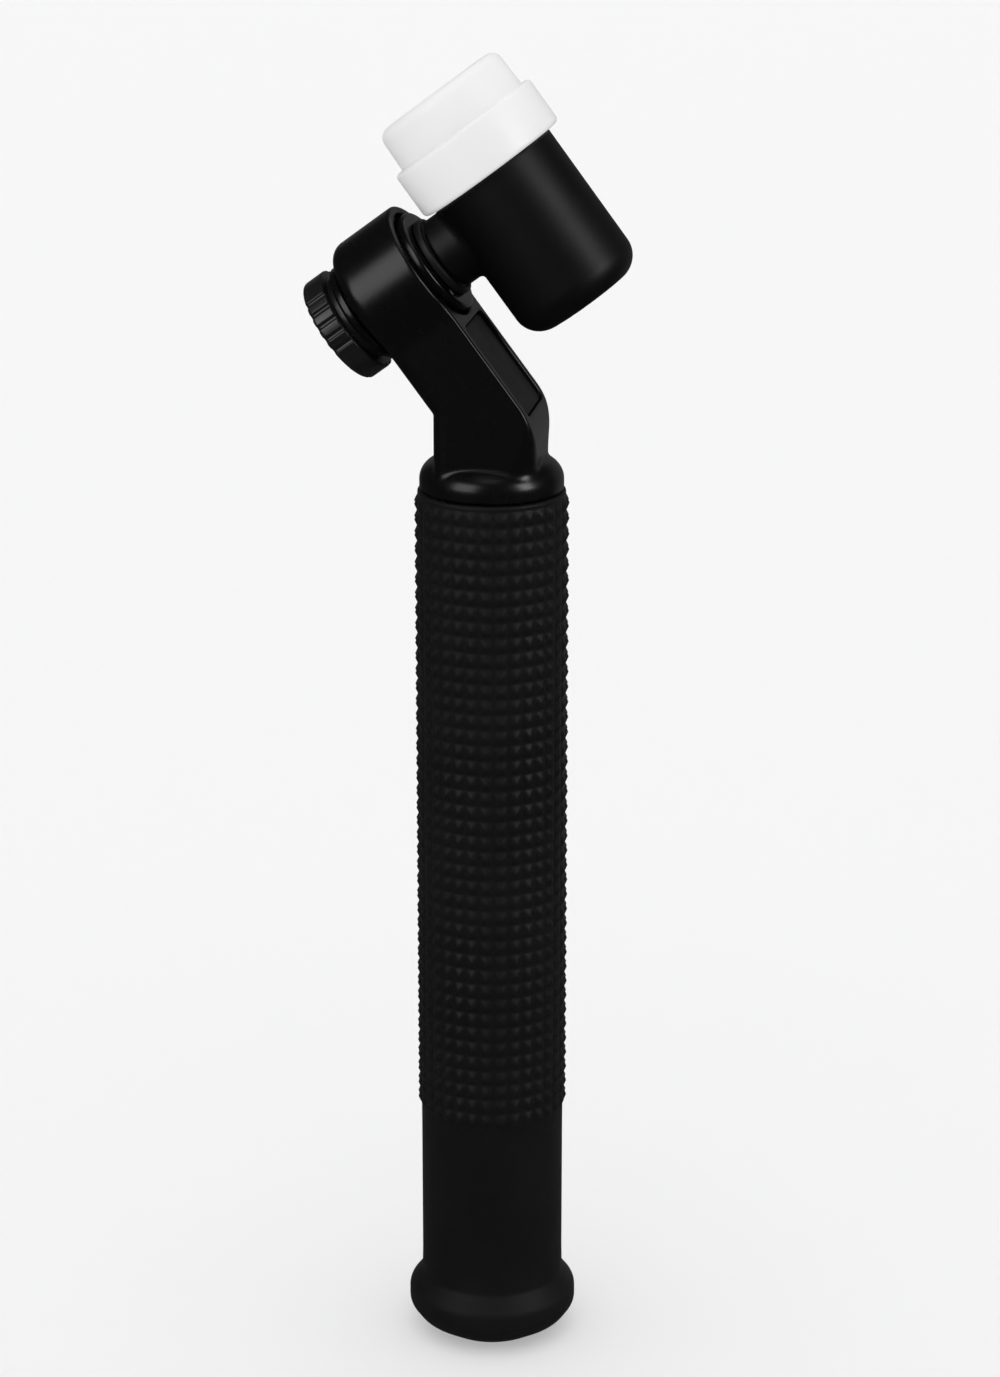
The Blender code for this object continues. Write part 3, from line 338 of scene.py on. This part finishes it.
def add_piece(name, points, faces, material, body, stands_for=(), sharp=None):
    """Add a piece that rides on this body, in this material slot, in place of these CAD nodes."""
    mesh = bpy.data.meshes.new(name)
    mesh.from_pydata(np.asarray(points).tolist(), [], faces)
    mesh.materials.append(material)
    mesh.shade_smooth()
    if sharp:
        mesh.set_sharp_from_angle(angle=math.radians(sharp))
    piece = bpy.data.objects.new(name, mesh)
    bpy.context.scene.collection.objects.link(piece)
    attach(piece, body)
    if stands_for:
        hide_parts(*stands_for)
    return piece


def fillet(outline, segments=5):
    """Round the corners of a closed (radius, height) outline.  Each point may carry its corner radius."""
    points = []
    count = len(outline)
    for i, corner in enumerate(outline):
        here = np.array(corner[:2], float)
        size = corner[2] if len(corner) > 2 else 0.0
        before = np.array(outline[i - 1][:2], float) - here
        after = np.array(outline[(i + 1) % count][:2], float) - here
        far_before, far_after = np.linalg.norm(before), np.linalg.norm(after)
        if size <= 0:
            points.append(tuple(here))
            continue
        before, after = before / far_before, after / far_after
        opening = math.acos(np.clip(before @ after, -1, 1))
        back = min(size / math.tan(opening / 2), 0.49 * far_before, 0.49 * far_after)
        size = back * math.tan(opening / 2)
        middle = here + (before + after) / np.linalg.norm(before + after) * size / math.sin(opening / 2)
        start = here + before * back - middle
        turn = math.pi - opening
        if start[1] * before[0] - start[0] * before[1] < 0:
            turn = -turn
        for step in range(segments + 1):
            angle = turn * step / segments
            points.append((middle[0] + start[0] * math.cos(angle) - start[1] * math.sin(angle),
                           middle[1] + start[0] * math.sin(angle) + start[1] * math.cos(angle)))
    return points


def lathe(name, outline, place, material, body, stands_for=(), sides=128, sharp=35, centre=(0, 0)):
    """Turn a closed (radius, height) outline about the place's Z axis.  Points on the axis become poles."""
    ring = np.arange(sides) * 2 * math.pi / sides
    points, first = [], []
    for r, z in outline:
        first.append(len(points))
        if r < POLE:
            points.append((centre[0], centre[1], z))
        else:
            points += [(centre[0] + r * math.cos(a), centre[1] + r * math.sin(a), z) for a in ring]
    faces = []
    for i in range(len(outline)):
        j = (i + 1) % len(outline)
        pole_i, pole_j = outline[i][0] < POLE, outline[j][0] < POLE
        if pole_i and pole_j:
            continue
        for k in range(sides):
            m = (k + 1) % sides
            a, b, c, d = first[i] + k, first[i] + m, first[j] + m, first[j] + k
            if pole_i:
                faces.append((first[i], c, d))
            elif pole_j:
                faces.append((a, b, first[j]))
            else:
                faces.append((a, b, c, d))
    area = sum(r * z2 - r2 * z for (r, z), (r2, z2) in zip(outline, outline[1:] + outline[:1]))
    if area < 0:
        faces = [face[::-1] for face in faces]
    return add_piece(name, place.world(points), faces, material, body, stands_for, sharp)


def surface_net(field, low, high, step):
    """Points and faces of the closed surface where the field is zero, on a grid of this step.

    No plane of the grid may lie in a flat of the surface, so the corners are at odd values.
    """
    low, high = np.array(low, float), np.array(high, float)
    counts = np.ceil((high - low) / step).astype(int) + 1
    lines = [low[i] + step * np.arange(counts[i]) for i in range(3)]
    values = np.empty(counts)
    for start in range(0, counts[0], SLAB):
        block = np.meshgrid(lines[0][start:start + SLAB], lines[1], lines[2], indexing="ij")
        values[start:start + SLAB] = field(*block)
    cells = counts - 1
    total = np.zeros((3, cells.prod()))
    hits = np.zeros(cells.prod())
    inside = values < 0
    quads = []
    for axis in range(3):
        below = tuple(slice(0, -1) if k == axis else slice(None) for k in range(3))
        above = tuple(slice(1, None) if k == axis else slice(None) for k in range(3))
        crossing = inside[below] != inside[above]
        edge = np.argwhere(crossing)
        here, there = values[below][crossing], values[above][crossing]
        point = edge.astype(float)
        point[:, axis] += here / (here - there)
        b, c = (axis + 1) % 3, (axis + 2) % 3
        around = []
        for db, dc in ((1, 1), (0, 1), (0, 0), (1, 0)):
            cell = edge.copy()
            cell[:, b] -= db
            cell[:, c] -= dc
            flat = np.ravel_multi_index(cell.T, cells)
            around.append(flat)
            hits += np.bincount(flat, minlength=len(hits))
            for k in range(3):
                total[k] += np.bincount(flat, weights=point[:, k], minlength=len(hits))
        around = np.stack(around, 1)
        around[here > 0] = around[here > 0][:, ::-1]
        quads.append(around)
    used = np.flatnonzero(hits)
    number = np.full(len(hits), -1)
    number[used] = np.arange(len(used))
    points = low + (total[:, used] / hits[used]).T * step
    for _ in range(SETTLE_ROUNDS):
        value = field(*points.T)
        slope = np.empty_like(points)
        for k in range(3):
            nudge = np.zeros(3)
            nudge[k] = SLOPE_STEP
            slope[:, k] = (field(*(points + nudge).T) - field(*(points - nudge).T)) / (2 * SLOPE_STEP)
        move = slope * (value / np.maximum((slope ** 2).sum(1), 0.05))[:, None]
        size = np.linalg.norm(move, axis=1, keepdims=True)
        points = points - move * np.minimum(1.0, 0.4 * step / np.maximum(size, 1e-9))
    return points, number[np.concatenate(quads)].tolist()


def netted(name, field, low, high, step, place, material, body, stands_for):
    points, faces = surface_net(field, low, high, step)
    return add_piece(name, place.world(points), faces, material, body, stands_for)


# ---------------------------------------------------------------- distance fields, mm
def both(a, b, radius):
    """Where both fields are inside, with this rounding on the outer edge."""
    u, v = np.maximum(a + radius, 0), np.maximum(b + radius, 0)
    return np.minimum(-radius, np.maximum(a, b)) + np.hypot(u, v)


def either(a, b, radius):
    """Where one of the fields is inside, with this fillet in the inner corner."""
    u, v = np.maximum(radius - a, 0), np.maximum(radius - b, 0)
    return np.maximum(radius, np.minimum(a, b)) - np.hypot(u, v)


def both_leaning(a, b, radius, cosine):
    """Like both, for surfaces whose outward directions have this cosine between them."""
    u, v = a + radius, b + radius
    corner = np.sqrt(np.maximum(u * u + v * v - 2 * u * v * cosine, 0) / (1 - cosine * cosine))
    beyond = (u > cosine * v) & (v > cosine * u)
    return np.where(beyond, corner, np.maximum(u, v)) - radius


def less(a, b, radius):
    """The first field without the second, with this rounding on the rim."""
    return both(a, -b, radius)


def span(value, low, high):
    """Inside between two values."""
    return np.abs(value - (low + high) / 2) - (high - low) / 2


def round_box(x, y, half_x, half_y, corner):
    """A rectangle about the origin, given by its half sizes, with round corners."""
    u, v = np.abs(x) - half_x + corner, np.abs(y) - half_y + corner
    return np.hypot(np.maximum(u, 0), np.maximum(v, 0)) + np.minimum(np.maximum(u, v), 0) - corner


def smooth_step(low, high, value):
    t = np.clip((value - low) / (high - low), 0, 1)
    return t * t * (3 - 2 * t)


def arm_plan(down, across):
    """The barrel and the arm seen along the pivot, with a tangent arc from one into the other."""
    beside = np.abs(across)
    barrel = np.hypot(down, across) - BARREL_RADIUS
    blend = np.where(down > BLEND_DOWN, beside - NECK_HALF_WIDTH,
                     BLEND_RADIUS - np.hypot(down - BLEND_DOWN, beside - BLEND_ACROSS))
    return np.where(beside * BLEND_DOWN > down * BLEND_ACROSS, barrel, blend)


def neck_field(down, across, along):
    """The neck in the SWIVEL frame.  side and rise are across and up the handle, from the grip's end."""
    side = FACE_SIDE + down * COSINE + along * SINE
    rise = FACE_RISE - down * SINE + along * COSINE
    plan = arm_plan(down, across)
    chest = side - NECK_HALF_DEPTH - CHEST_SWELL
    front = both_leaning(chest, along, BEND_RADIUS, SINE)
    back = np.minimum(-NECK_HALF_DEPTH - side, -ARM_THICKNESS - along)
    edge = FRONT_EDGE + (CHEST_EDGE - FRONT_EDGE) * smooth_step(-1.0, 4.0, chest - along)
    shell = np.maximum(both(front, plan, edge), both(back, plan, BACK_CORNER))
    shell = np.maximum(shell, GAP - rise)

    reach = np.hypot(side, across)
    collar = both(reach - COLLAR_RADIUS, rise - COLLAR_HEIGHT, COLLAR_ROUND)
    shell = either(shell, np.maximum(collar, GAP - rise), COLLAR_FILLET)
    spigot = np.maximum(reach - SPIGOT_RADIUS, span(rise, *SPIGOT_SPAN))
    groove = np.maximum(SEAL_GROOVE_RADIUS - reach, span(rise, *SEAL_GROOVE_SPAN))
    shell = np.minimum(shell, np.maximum(spigot, -groove))
    shell = np.maximum(shell, -np.maximum(reach - SPIGOT_BORE, rise - SPIGOT_BORE_END))

    from_pivot = np.hypot(down, across)
    shell = less(shell, np.maximum(from_pivot - RING_RADIUS - RING_GROOVE, -RING_SEAT - along), 0.22)
    shell = less(shell, np.maximum(from_pivot - BLOCK_RADIUS - GAP, -BLOCK_DEPTH - along), 0.2)
    shell = less(shell, np.maximum(from_pivot - STEM_HOLE, along), 0.25)
    pocket = round_box(down - COVER_MIDDLE, across, COVER_LENGTH / 2 + SEAM, COVER_WIDTH / 2 + SEAM,
                       COVER_CORNER + SEAM)
    floor = -COVER_RECESS - COVER_THICKNESS - GAP
    shell = less(shell, np.maximum(pocket, floor - along), 0.15)
    channel = np.hypot(along + CHANNEL_DEPTH, across) - CHANNEL_RADIUS
    shell = np.maximum(shell, -np.maximum(channel, span(down, *CHANNEL_SPAN)))
    chute = np.hypot(side - CHUTE_SIDE, across) - CHANNEL_RADIUS
    return np.maximum(shell, -np.maximum(chute, span(rise, *CHUTE_SPAN)))


def cover_field(down, across, along):
    plate = round_box(down - COVER_MIDDLE, across, COVER_LENGTH / 2, COVER_WIDTH / 2, COVER_CORNER)
    return both(plate, span(along, -COVER_RECESS - COVER_THICKNESS, -COVER_RECESS), 0.28)


def jacket_field(x, y, z):
    """The head's moulding and its stub in the HEAD frame."""
    reach, round_pivot = np.hypot(x, y), np.hypot(y, z)
    wall = reach - JACKET_RADIUS
    barrel = np.maximum(both(wall, JACKET_BOTTOM - z, JACKET_CORNER), both(wall, z - JACKET_TOP, 0.2))
    stub = np.maximum(both(round_pivot - STUB_RADIUS, -x - STUB_REACH, 0.35), x + BODY_RADIUS)
    skin = either(barrel, stub, STUB_FILLET)
    skin = less(skin, reach - BODY_RADIUS - GAP, 0.3)
    return less(skin, np.maximum(round_pivot - STEM_RADIUS - GAP, x), 0.25)


def knob_field(x, y, z):
    """The lock knob in the SWIVEL frame: fluted rim, hub, dished end with a boss, and its pockets."""
    reach = np.hypot(x, y)
    angle = np.arctan2(y, x)
    rim = reach - KNOB_RADIUS
    for flute in FLUTE_ANGLES:
        away = (angle - flute + math.pi) % (2 * math.pi) - math.pi
        rim = less(rim, np.hypot(away * reach, reach - FLUTE_CIRCLE) - FLUTE_RADIUS, 0.09)
    ribs = np.maximum(both(rim, KNOB_BACK - z, KNOB_EDGE), both(rim, z - KNOB_SHOULDER, 0.25))
    hub = np.maximum(reach - HUB_RADIUS, span(z, KNOB_BACK + 1.0, KNOB_FACE))
    body = either(ribs, hub, 0.1)
    body = less(body, np.maximum(reach - DISH_RADIUS, z - (KNOB_BACK + DISH_DEPTH)), 0.3)
    boss = np.maximum(reach - BOSS_RADIUS, span(z, KNOB_BACK + 0.05, KNOB_BACK + 0.85))
    body = either(body, boss, 0.2)
    body = np.maximum(body, -np.maximum(reach - INSERT_POCKET, KNOB_BACK + INSERT_WALL - z))
    return np.maximum(body, -np.maximum(reach - SPRING_POCKET, SPRING_FLOOR - z))


# ---------------------------------------------------------------- pieces
def stud_rise(turns, z, low, top):
    """How far the tread stands out at this height, round the grip: blunt four-sided pyramids."""
    across = np.abs((turns / (2 * math.pi) * STUD_COLUMNS) % 1 - 0.5) * 2
    up = abs(((z - FIRST_STUD) / STUD_PITCH + 0.5) % 1 - 0.5) * 2
    off_middle = (across ** 6 + up ** 6) ** (1 / 6)
    slope = np.clip(1 - off_middle / STUD_SPREAD, 0, 1)
    fade = min(1.0, max(0.0, (z - low) / STUD_FADE_LOW), max(0.0, (top - z) / STUD_FADE_TOP))
    return (STUD_FOOT + STUD_HEIGHT * (1 + STUD_BLUNT) * slope / (1 + STUD_BLUNT * slope)) * fade


def make_grip():
    """The moulded sleeve: rolled bead at the foot, smooth stretch, and rows of four-sided studs."""
    per_cell = 8
    sides = STUD_COLUMNS * per_cell
    tread_top = FIRST_STUD + STUD_PITCH / 2
    tread_low = FIRST_STUD - (STUD_ROWS - 0.5) * STUD_PITCH
    outline = fillet([
        (TUBE_BORE, 0.0, 0.1), (FOOT_RADIUS, 0.0, 0.4), (11.6, 2.2, 2.2), (BEAD_RADIUS, BEAD_LOW, 2.0),
        (BEAD_RADIUS, BEAD_HIGH, 2.2), (11.05, BEAD_TOP, 1.4), (SMOOTH_RADIUS, 13.0)], 6)
    outline += [(SMOOTH_RADIUS, 15.0 + 4.0 * k) for k in range(6)]
    first_tread = len(outline)
    cuts = round((tread_top - tread_low) / STUD_PITCH * per_cell)
    outline += [(GRIP_RADIUS, tread_low + (tread_top - tread_low) * k / cuts) for k in range(cuts + 1)]
    past_tread = len(outline)
    outline += fillet([(11.05, 136.4), (11.05, GRIP_LENGTH, 0.25), (SLEEVE_BORE, GRIP_LENGTH, 0.1),
                       (SLEEVE_BORE, GRIP_FLOOR), (TUBE_BORE, GRIP_FLOOR)], 3)
    turns = np.arange(sides) * 2 * math.pi / sides
    points = []
    for row, (r, z) in enumerate(outline):
        radii = np.full(sides, float(r))
        if first_tread <= row < past_tread:
            radii = radii + stud_rise(turns, z, tread_low, tread_top)
        points.append(np.column_stack([radii * np.cos(turns), radii * np.sin(turns), np.full(sides, z)]))
    faces = []
    for i in range(len(outline)):
        j = (i + 1) % len(outline)
        for k in range(sides):
            m = (k + 1) % sides
            faces.append((i * sides + k, i * sides + m, j * sides + m, j * sides + k))
    add_piece("grip_rubber_sleeve", HANDLE.world(np.concatenate(points)), faces, GRIP_RUBBER, "handle",
              ("grip_sleeve",), 40)


def make_handle_inside():
    low, high = GRIP_FLOOR + GAP, GRIP_LENGTH - GAP
    lathe("handle_tube_fine", fillet([(TUBE_BORE, low, 0.3), (TUBE_RADIUS, low, 0.3),
                                      (TUBE_RADIUS, high, 0.3), (TUBE_BORE, high, 0.3)], 3),
          HANDLE, PHENOLIC, "handle", ("handle_tube",))
    outer = TUBE_BORE - GAP
    lathe("rear_bush_fine", fillet([(4.9, 2.2, 0.0), (5.6, 1.5, 0.3), (outer, 1.5, 0.3), (outer, 16.4, 0.6),
                                    (6.3, 17.5, 0.4), (4.9, 17.5, 0.3), (4.9, 12.0), (5.2, 11.5), (5.2, 9.5),
                                    (4.9, 9.0)], 3),
          HANDLE, BUSH_RUBBER, "handle", ("rear_bush",))


def make_neck():
    netted("neck_shell", neck_field, (-11.23, -11.67, -31.58), (52.0, 11.67, 1.0), 0.3, SWIVEL, NECK_NYLON,
           "handle", ("neck_housing",))
    netted("neck_cover_plate", cover_field, (9.77, -6.67, -2.67), (26.0, 6.67, -0.2), 0.16, SWIVEL,
           COVER_NYLON, "handle", ("neck_cover",))


def make_swivel():
    inner = CLAMP_RADIUS + GAP
    low = -RING_SEAT + GAP
    lathe("swivel_ring_fine", fillet([(inner, low, 0.15), (RING_RADIUS, low, 0.15),
                                      (RING_RADIUS, RING_PROUD, 0.5), (inner, RING_PROUD, 0.3)], 6),
          SWIVEL, RING_NYLON, "handle", ("swivel_ring",), sides=160)
    spot = (PIN_CIRCLE * math.cos(PIN_ANGLE), PIN_CIRCLE * math.sin(PIN_ANGLE))
    tip = RING_PROUD + PIN_PROUD
    lathe("ring_pin_fine", fillet([(0, low), (PIN_RADIUS, low, 0.1), (PIN_RADIUS, tip, 0.25), (0, tip)], 4),
          SWIVEL, PIN_STEEL, "handle", ("ring_pin",), sides=32, centre=spot)
    base = RING_PROUD + SEAL_LIFT
    face, dish = base + SEAL_THICKNESS, base + SEAL_DISH
    lathe("dust_seal_fine", fillet([(STEM_RADIUS, base, 0.1), (SEAL_RADIUS, base, 0.15),
                                    (SEAL_RADIUS, face, 0.35), (5.75, face, 0.1), (5.55, dish, 0.15),
                                    (5.1, dish, 0.15), (4.9, face, 0.15), (STEM_RADIUS, face, 0.2)], 4),
          SWIVEL, SEAL_RUBBER, "handle", ("dust_seal",))


def thread(start, end):
    """Outline points of a socket's thread from one height to another, as ridges without a lead."""
    way = 1 if end > start else -1
    crest = SOCKET_RADIUS + THREAD_DEPTH
    points = []
    for k in range(int(abs(end - start) / THREAD_PITCH)):
        z = start + way * k * THREAD_PITCH
        points += [(r, z + way * THREAD_PITCH * share) for r, share in
                   ((SOCKET_RADIUS, 0.0), (crest, 0.25), (crest, 0.45), (SOCKET_RADIUS, 0.7))]
    return points


def make_head():
    netted("head_jacket", jacket_field, (-13.4, -10.6, -18.4), (10.6, 10.6, 6.4), 0.26, HEAD, HEAD_SILICONE,
           "head", ("head_cover",))
    lathe("cup_gasket_fine", fillet([
        (GASKET_MOUTH, NOSE_TOP, 0.5), (NOSE_TIP_RADIUS, NOSE_TOP, 1.8), (NOSE_RADIUS, RIM_TOP, 0.25),
        (RIM_RADIUS, RIM_TOP, 0.9), (RIM_RADIUS, GASKET_BACK, 0.8), (GASKET_SEAT, GASKET_BACK, 0.3),
        (GASKET_SEAT, SEAT_TOP, 0.1), (GASKET_MOUTH, SEAT_TOP, 0.1)], 7),
        HEAD, PTFE, "head", ("cup_gasket",), sides=192)
    outline = [(6.0, BODY_FRONT), (BODY_RADIUS, BODY_FRONT - 0.5), (BODY_RADIUS, BODY_REAR + 0.3),
               (6.2, BODY_REAR), (SOCKET_MOUTH, BODY_REAR)]
    outline += thread(BODY_REAR + 0.6, -BODY_WEB - 1.0)
    outline += [(SOCKET_RADIUS, -BODY_WEB), (BODY_BORE, -BODY_WEB), (BODY_BORE, BODY_WEB),
                (SOCKET_RADIUS, BODY_WEB)]
    outline += thread(BODY_WEB + 1.0, BODY_FRONT - 0.8) + [(SOCKET_MOUTH, BODY_FRONT)]
    lathe("head_body_fine", outline, HEAD, BRASS, "head", ("head_body",), sides=96, sharp=28)


def make_knob():
    netted("lock_knob_fine", knob_field, (-9.0, -9.0, -18.4), (9.0, 9.0, -12.8), 0.13, SWIVEL, KNOB_NYLON,
           "knob", ("lock_knob",))
    low, high = WASHER_SPAN
    lathe("thrust_washer_fine", fillet([(STEM_HOLE, low, 0.1), (WASHER_RADIUS, low, 0.3),
                                        (WASHER_RADIUS, high, 0.3), (STEM_HOLE, high, 0.1)], 5),
          SWIVEL, WASHER_NYLON, "knob_carrier", ("thrust_washer",), sides=160)


def finish_inner_nodes():
    looks = {
        "spigot_seal": SEAL_RUBBER, "conduit_tube": COPPER, "conduit_sleeve": SLEEVE_PLASTIC,
        "power_fitting": FITTING_BRASS, "swivel_block": BRASS, "swivel_stem": BRASS, "stop_pin": PIN_STEEL,
        "stem_o_ring_front": SEAL_RUBBER, "stem_o_ring_rear": SEAL_RUBBER, "spring_washer": SPRING_STEEL,
        "knob_insert": FITTING_BRASS,
    }
    for name, material in looks.items():
        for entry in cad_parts[name].material_slots:
            entry.material = material


# ---------------------------------------------------------------- stage, light and camera
FLOOR_COLOUR = (0.54, 0.54, 0.54, 1)
FLOOR_GLOW = 0.35
FLOOR_RADIUS = 3.0                # m, like the two below
WALL_CURVE = 1.5
WALL_HEIGHT = 5.0
LIT_HEIGHT = 0.12                 # where the lights aim on the handle's axis, m
SKY_SPREAD = math.radians(150)
FRONT_SPREAD = math.radians(70)
ROOM = (0.03, 0.03, 0.032, 1)


def make_stage():
    """A pale floor that turns up into a wall all round, far from the torch.

    The floor glows a little, so that the torch's own shadow doesn't hide the edge of its foot.
    """
    floor = bpy.data.materials.new("pale_floor")
    floor.use_nodes = True
    shader = floor.node_tree.nodes["Principled BSDF"]
    shader.inputs["Base Color"].default_value = FLOOR_COLOUR
    shader.inputs["Emission Color"].default_value = (1.0, 1.0, 1.0, 1)
    shader.inputs["Emission Strength"].default_value = FLOOR_GLOW
    shader.inputs["Roughness"].default_value = 1.0
    shader.inputs["Specular IOR Level"].default_value = 0.0
    outline = [(0.0, 0.0), (FLOOR_RADIUS, 0.0)]
    for step in range(1, 9):
        turn = step / 8 * math.pi / 2
        outline.append((FLOOR_RADIUS + WALL_CURVE * math.sin(turn), WALL_CURVE - WALL_CURVE * math.cos(turn)))
    outline.append((FLOOR_RADIUS + WALL_CURVE, WALL_HEIGHT))
    sides = 96
    points, faces = [(0, 0, 0)], []
    for r, z in outline[1:]:
        points += [(r * math.cos(a), r * math.sin(a), z) for a in np.arange(sides) * 2 * math.pi / sides]
    for k in range(sides):
        faces.append((0, 1 + k, 1 + (k + 1) % sides))
    for i in range(len(outline) - 2):
        for k in range(sides):
            m = (k + 1) % sides
            a, b = 1 + i * sides, 1 + (i + 1) * sides
            faces.append((a + k, b + k, b + m, a + m))
    mesh = bpy.data.meshes.new("studio_floor")
    mesh.from_pydata(points, [], faces)
    mesh.materials.append(floor)
    mesh.shade_smooth()
    stage = bpy.data.objects.new("studio_floor", mesh)
    bpy.context.scene.collection.objects.link(stage)
    stage.visible_glossy = False


def add_light(name, kind, energy, azimuth=0.0, elevation=90.0, distance=1.0, size=(1.0, 1.0), glossy=True,
              diffuse=True):
    """A light at this azimuth and elevation round the torch's upper half.  Azimuth 0 is at the front, -Y."""
    data = bpy.data.lights.new(name, kind)
    data.energy = energy
    if kind == "AREA":
        data.shape = "RECTANGLE"
        data.size, data.size_y = size
    lamp = bpy.data.objects.new(name, data)
    bpy.context.scene.collection.objects.link(lamp)
    a, e = math.radians(azimuth), math.radians(elevation)
    away = np.array([math.sin(a) * math.cos(e), -math.cos(a) * math.cos(e), math.sin(e)])
    target = np.array([AXIS_X, 0.0, LIT_HEIGHT])
    lamp.location = target + away * distance
    lamp.rotation_euler = (math.pi / 2 - e, 0, a)
    lamp.visible_glossy = glossy
    lamp.visible_diffuse = diffuse
    lamp.visible_camera = False
    return lamp


def make_lights():
    """Two broad suns light the torch and floor.  The panels show only as highlights on glossy pieces."""
    overhead = add_light("sky_sun", "SUN", 3.45, 0, 90, 2.0, glossy=False)
    overhead.data.angle = SKY_SPREAD
    frontal = add_light("front_sun", "SUN", 0.8, 5, 28, 2.0, glossy=False)
    frontal.data.angle = FRONT_SPREAD
    add_light("front_left_box", "AREA", 1.45, -36, 24, 0.75, (0.46, 0.50), diffuse=False)
    add_light("front_right_box", "AREA", 1.6, 68, 24, 0.75, (0.26, 0.40), diffuse=False)
    add_light("top_box", "AREA", 0.12, 0, 70, 0.75, (0.30, 0.30), diffuse=False)
    add_light("back_panel", "AREA", 1.3, 172, 0, 1.5, (2.6, 1.5), diffuse=False)
    world = bpy.data.worlds.new("dim_room")
    world.use_nodes = True
    world.node_tree.nodes["Background"].inputs["Color"].default_value = ROOM
    bpy.context.scene.world = world
    bpy.context.scene.view_settings.view_transform = "Standard"


VIEW_AZIMUTH = math.radians(9.73)
VIEW_ELEVATION = math.radians(18.0)
VIEW_DISTANCE = 0.55256           # m
VIEW_HEIGHT = 0.1059              # m
FOCAL_LENGTH = 95.71              # mm
SLIDE = (0.00123, -0.00008)       # of the view from the handle's axis, right and up, m


def make_camera():
    data = bpy.data.cameras.new("camera")
    data.lens = FOCAL_LENGTH
    data.sensor_width = 36.0
    camera = bpy.data.objects.new("camera", data)
    bpy.context.scene.collection.objects.link(camera)
    a, e = VIEW_AZIMUTH, VIEW_ELEVATION
    away = np.array([math.sin(a) * math.cos(e), -math.cos(a) * math.cos(e), math.sin(e)])
    right = np.array([math.cos(a), math.sin(a), 0.0])
    up = np.cross(away, right)
    camera.location = (np.array([AXIS_X, 0, VIEW_HEIGHT]) + away * VIEW_DISTANCE
                       + right * SLIDE[0] + up * SLIDE[1])
    camera.rotation_euler = (math.pi / 2 - e, 0, a)
    bpy.context.scene.camera = camera


make_camera()
make_stage()
make_lights()
make_grip()
make_handle_inside()
make_neck()
make_swivel()
make_head()
make_knob()
finish_inner_nodes()
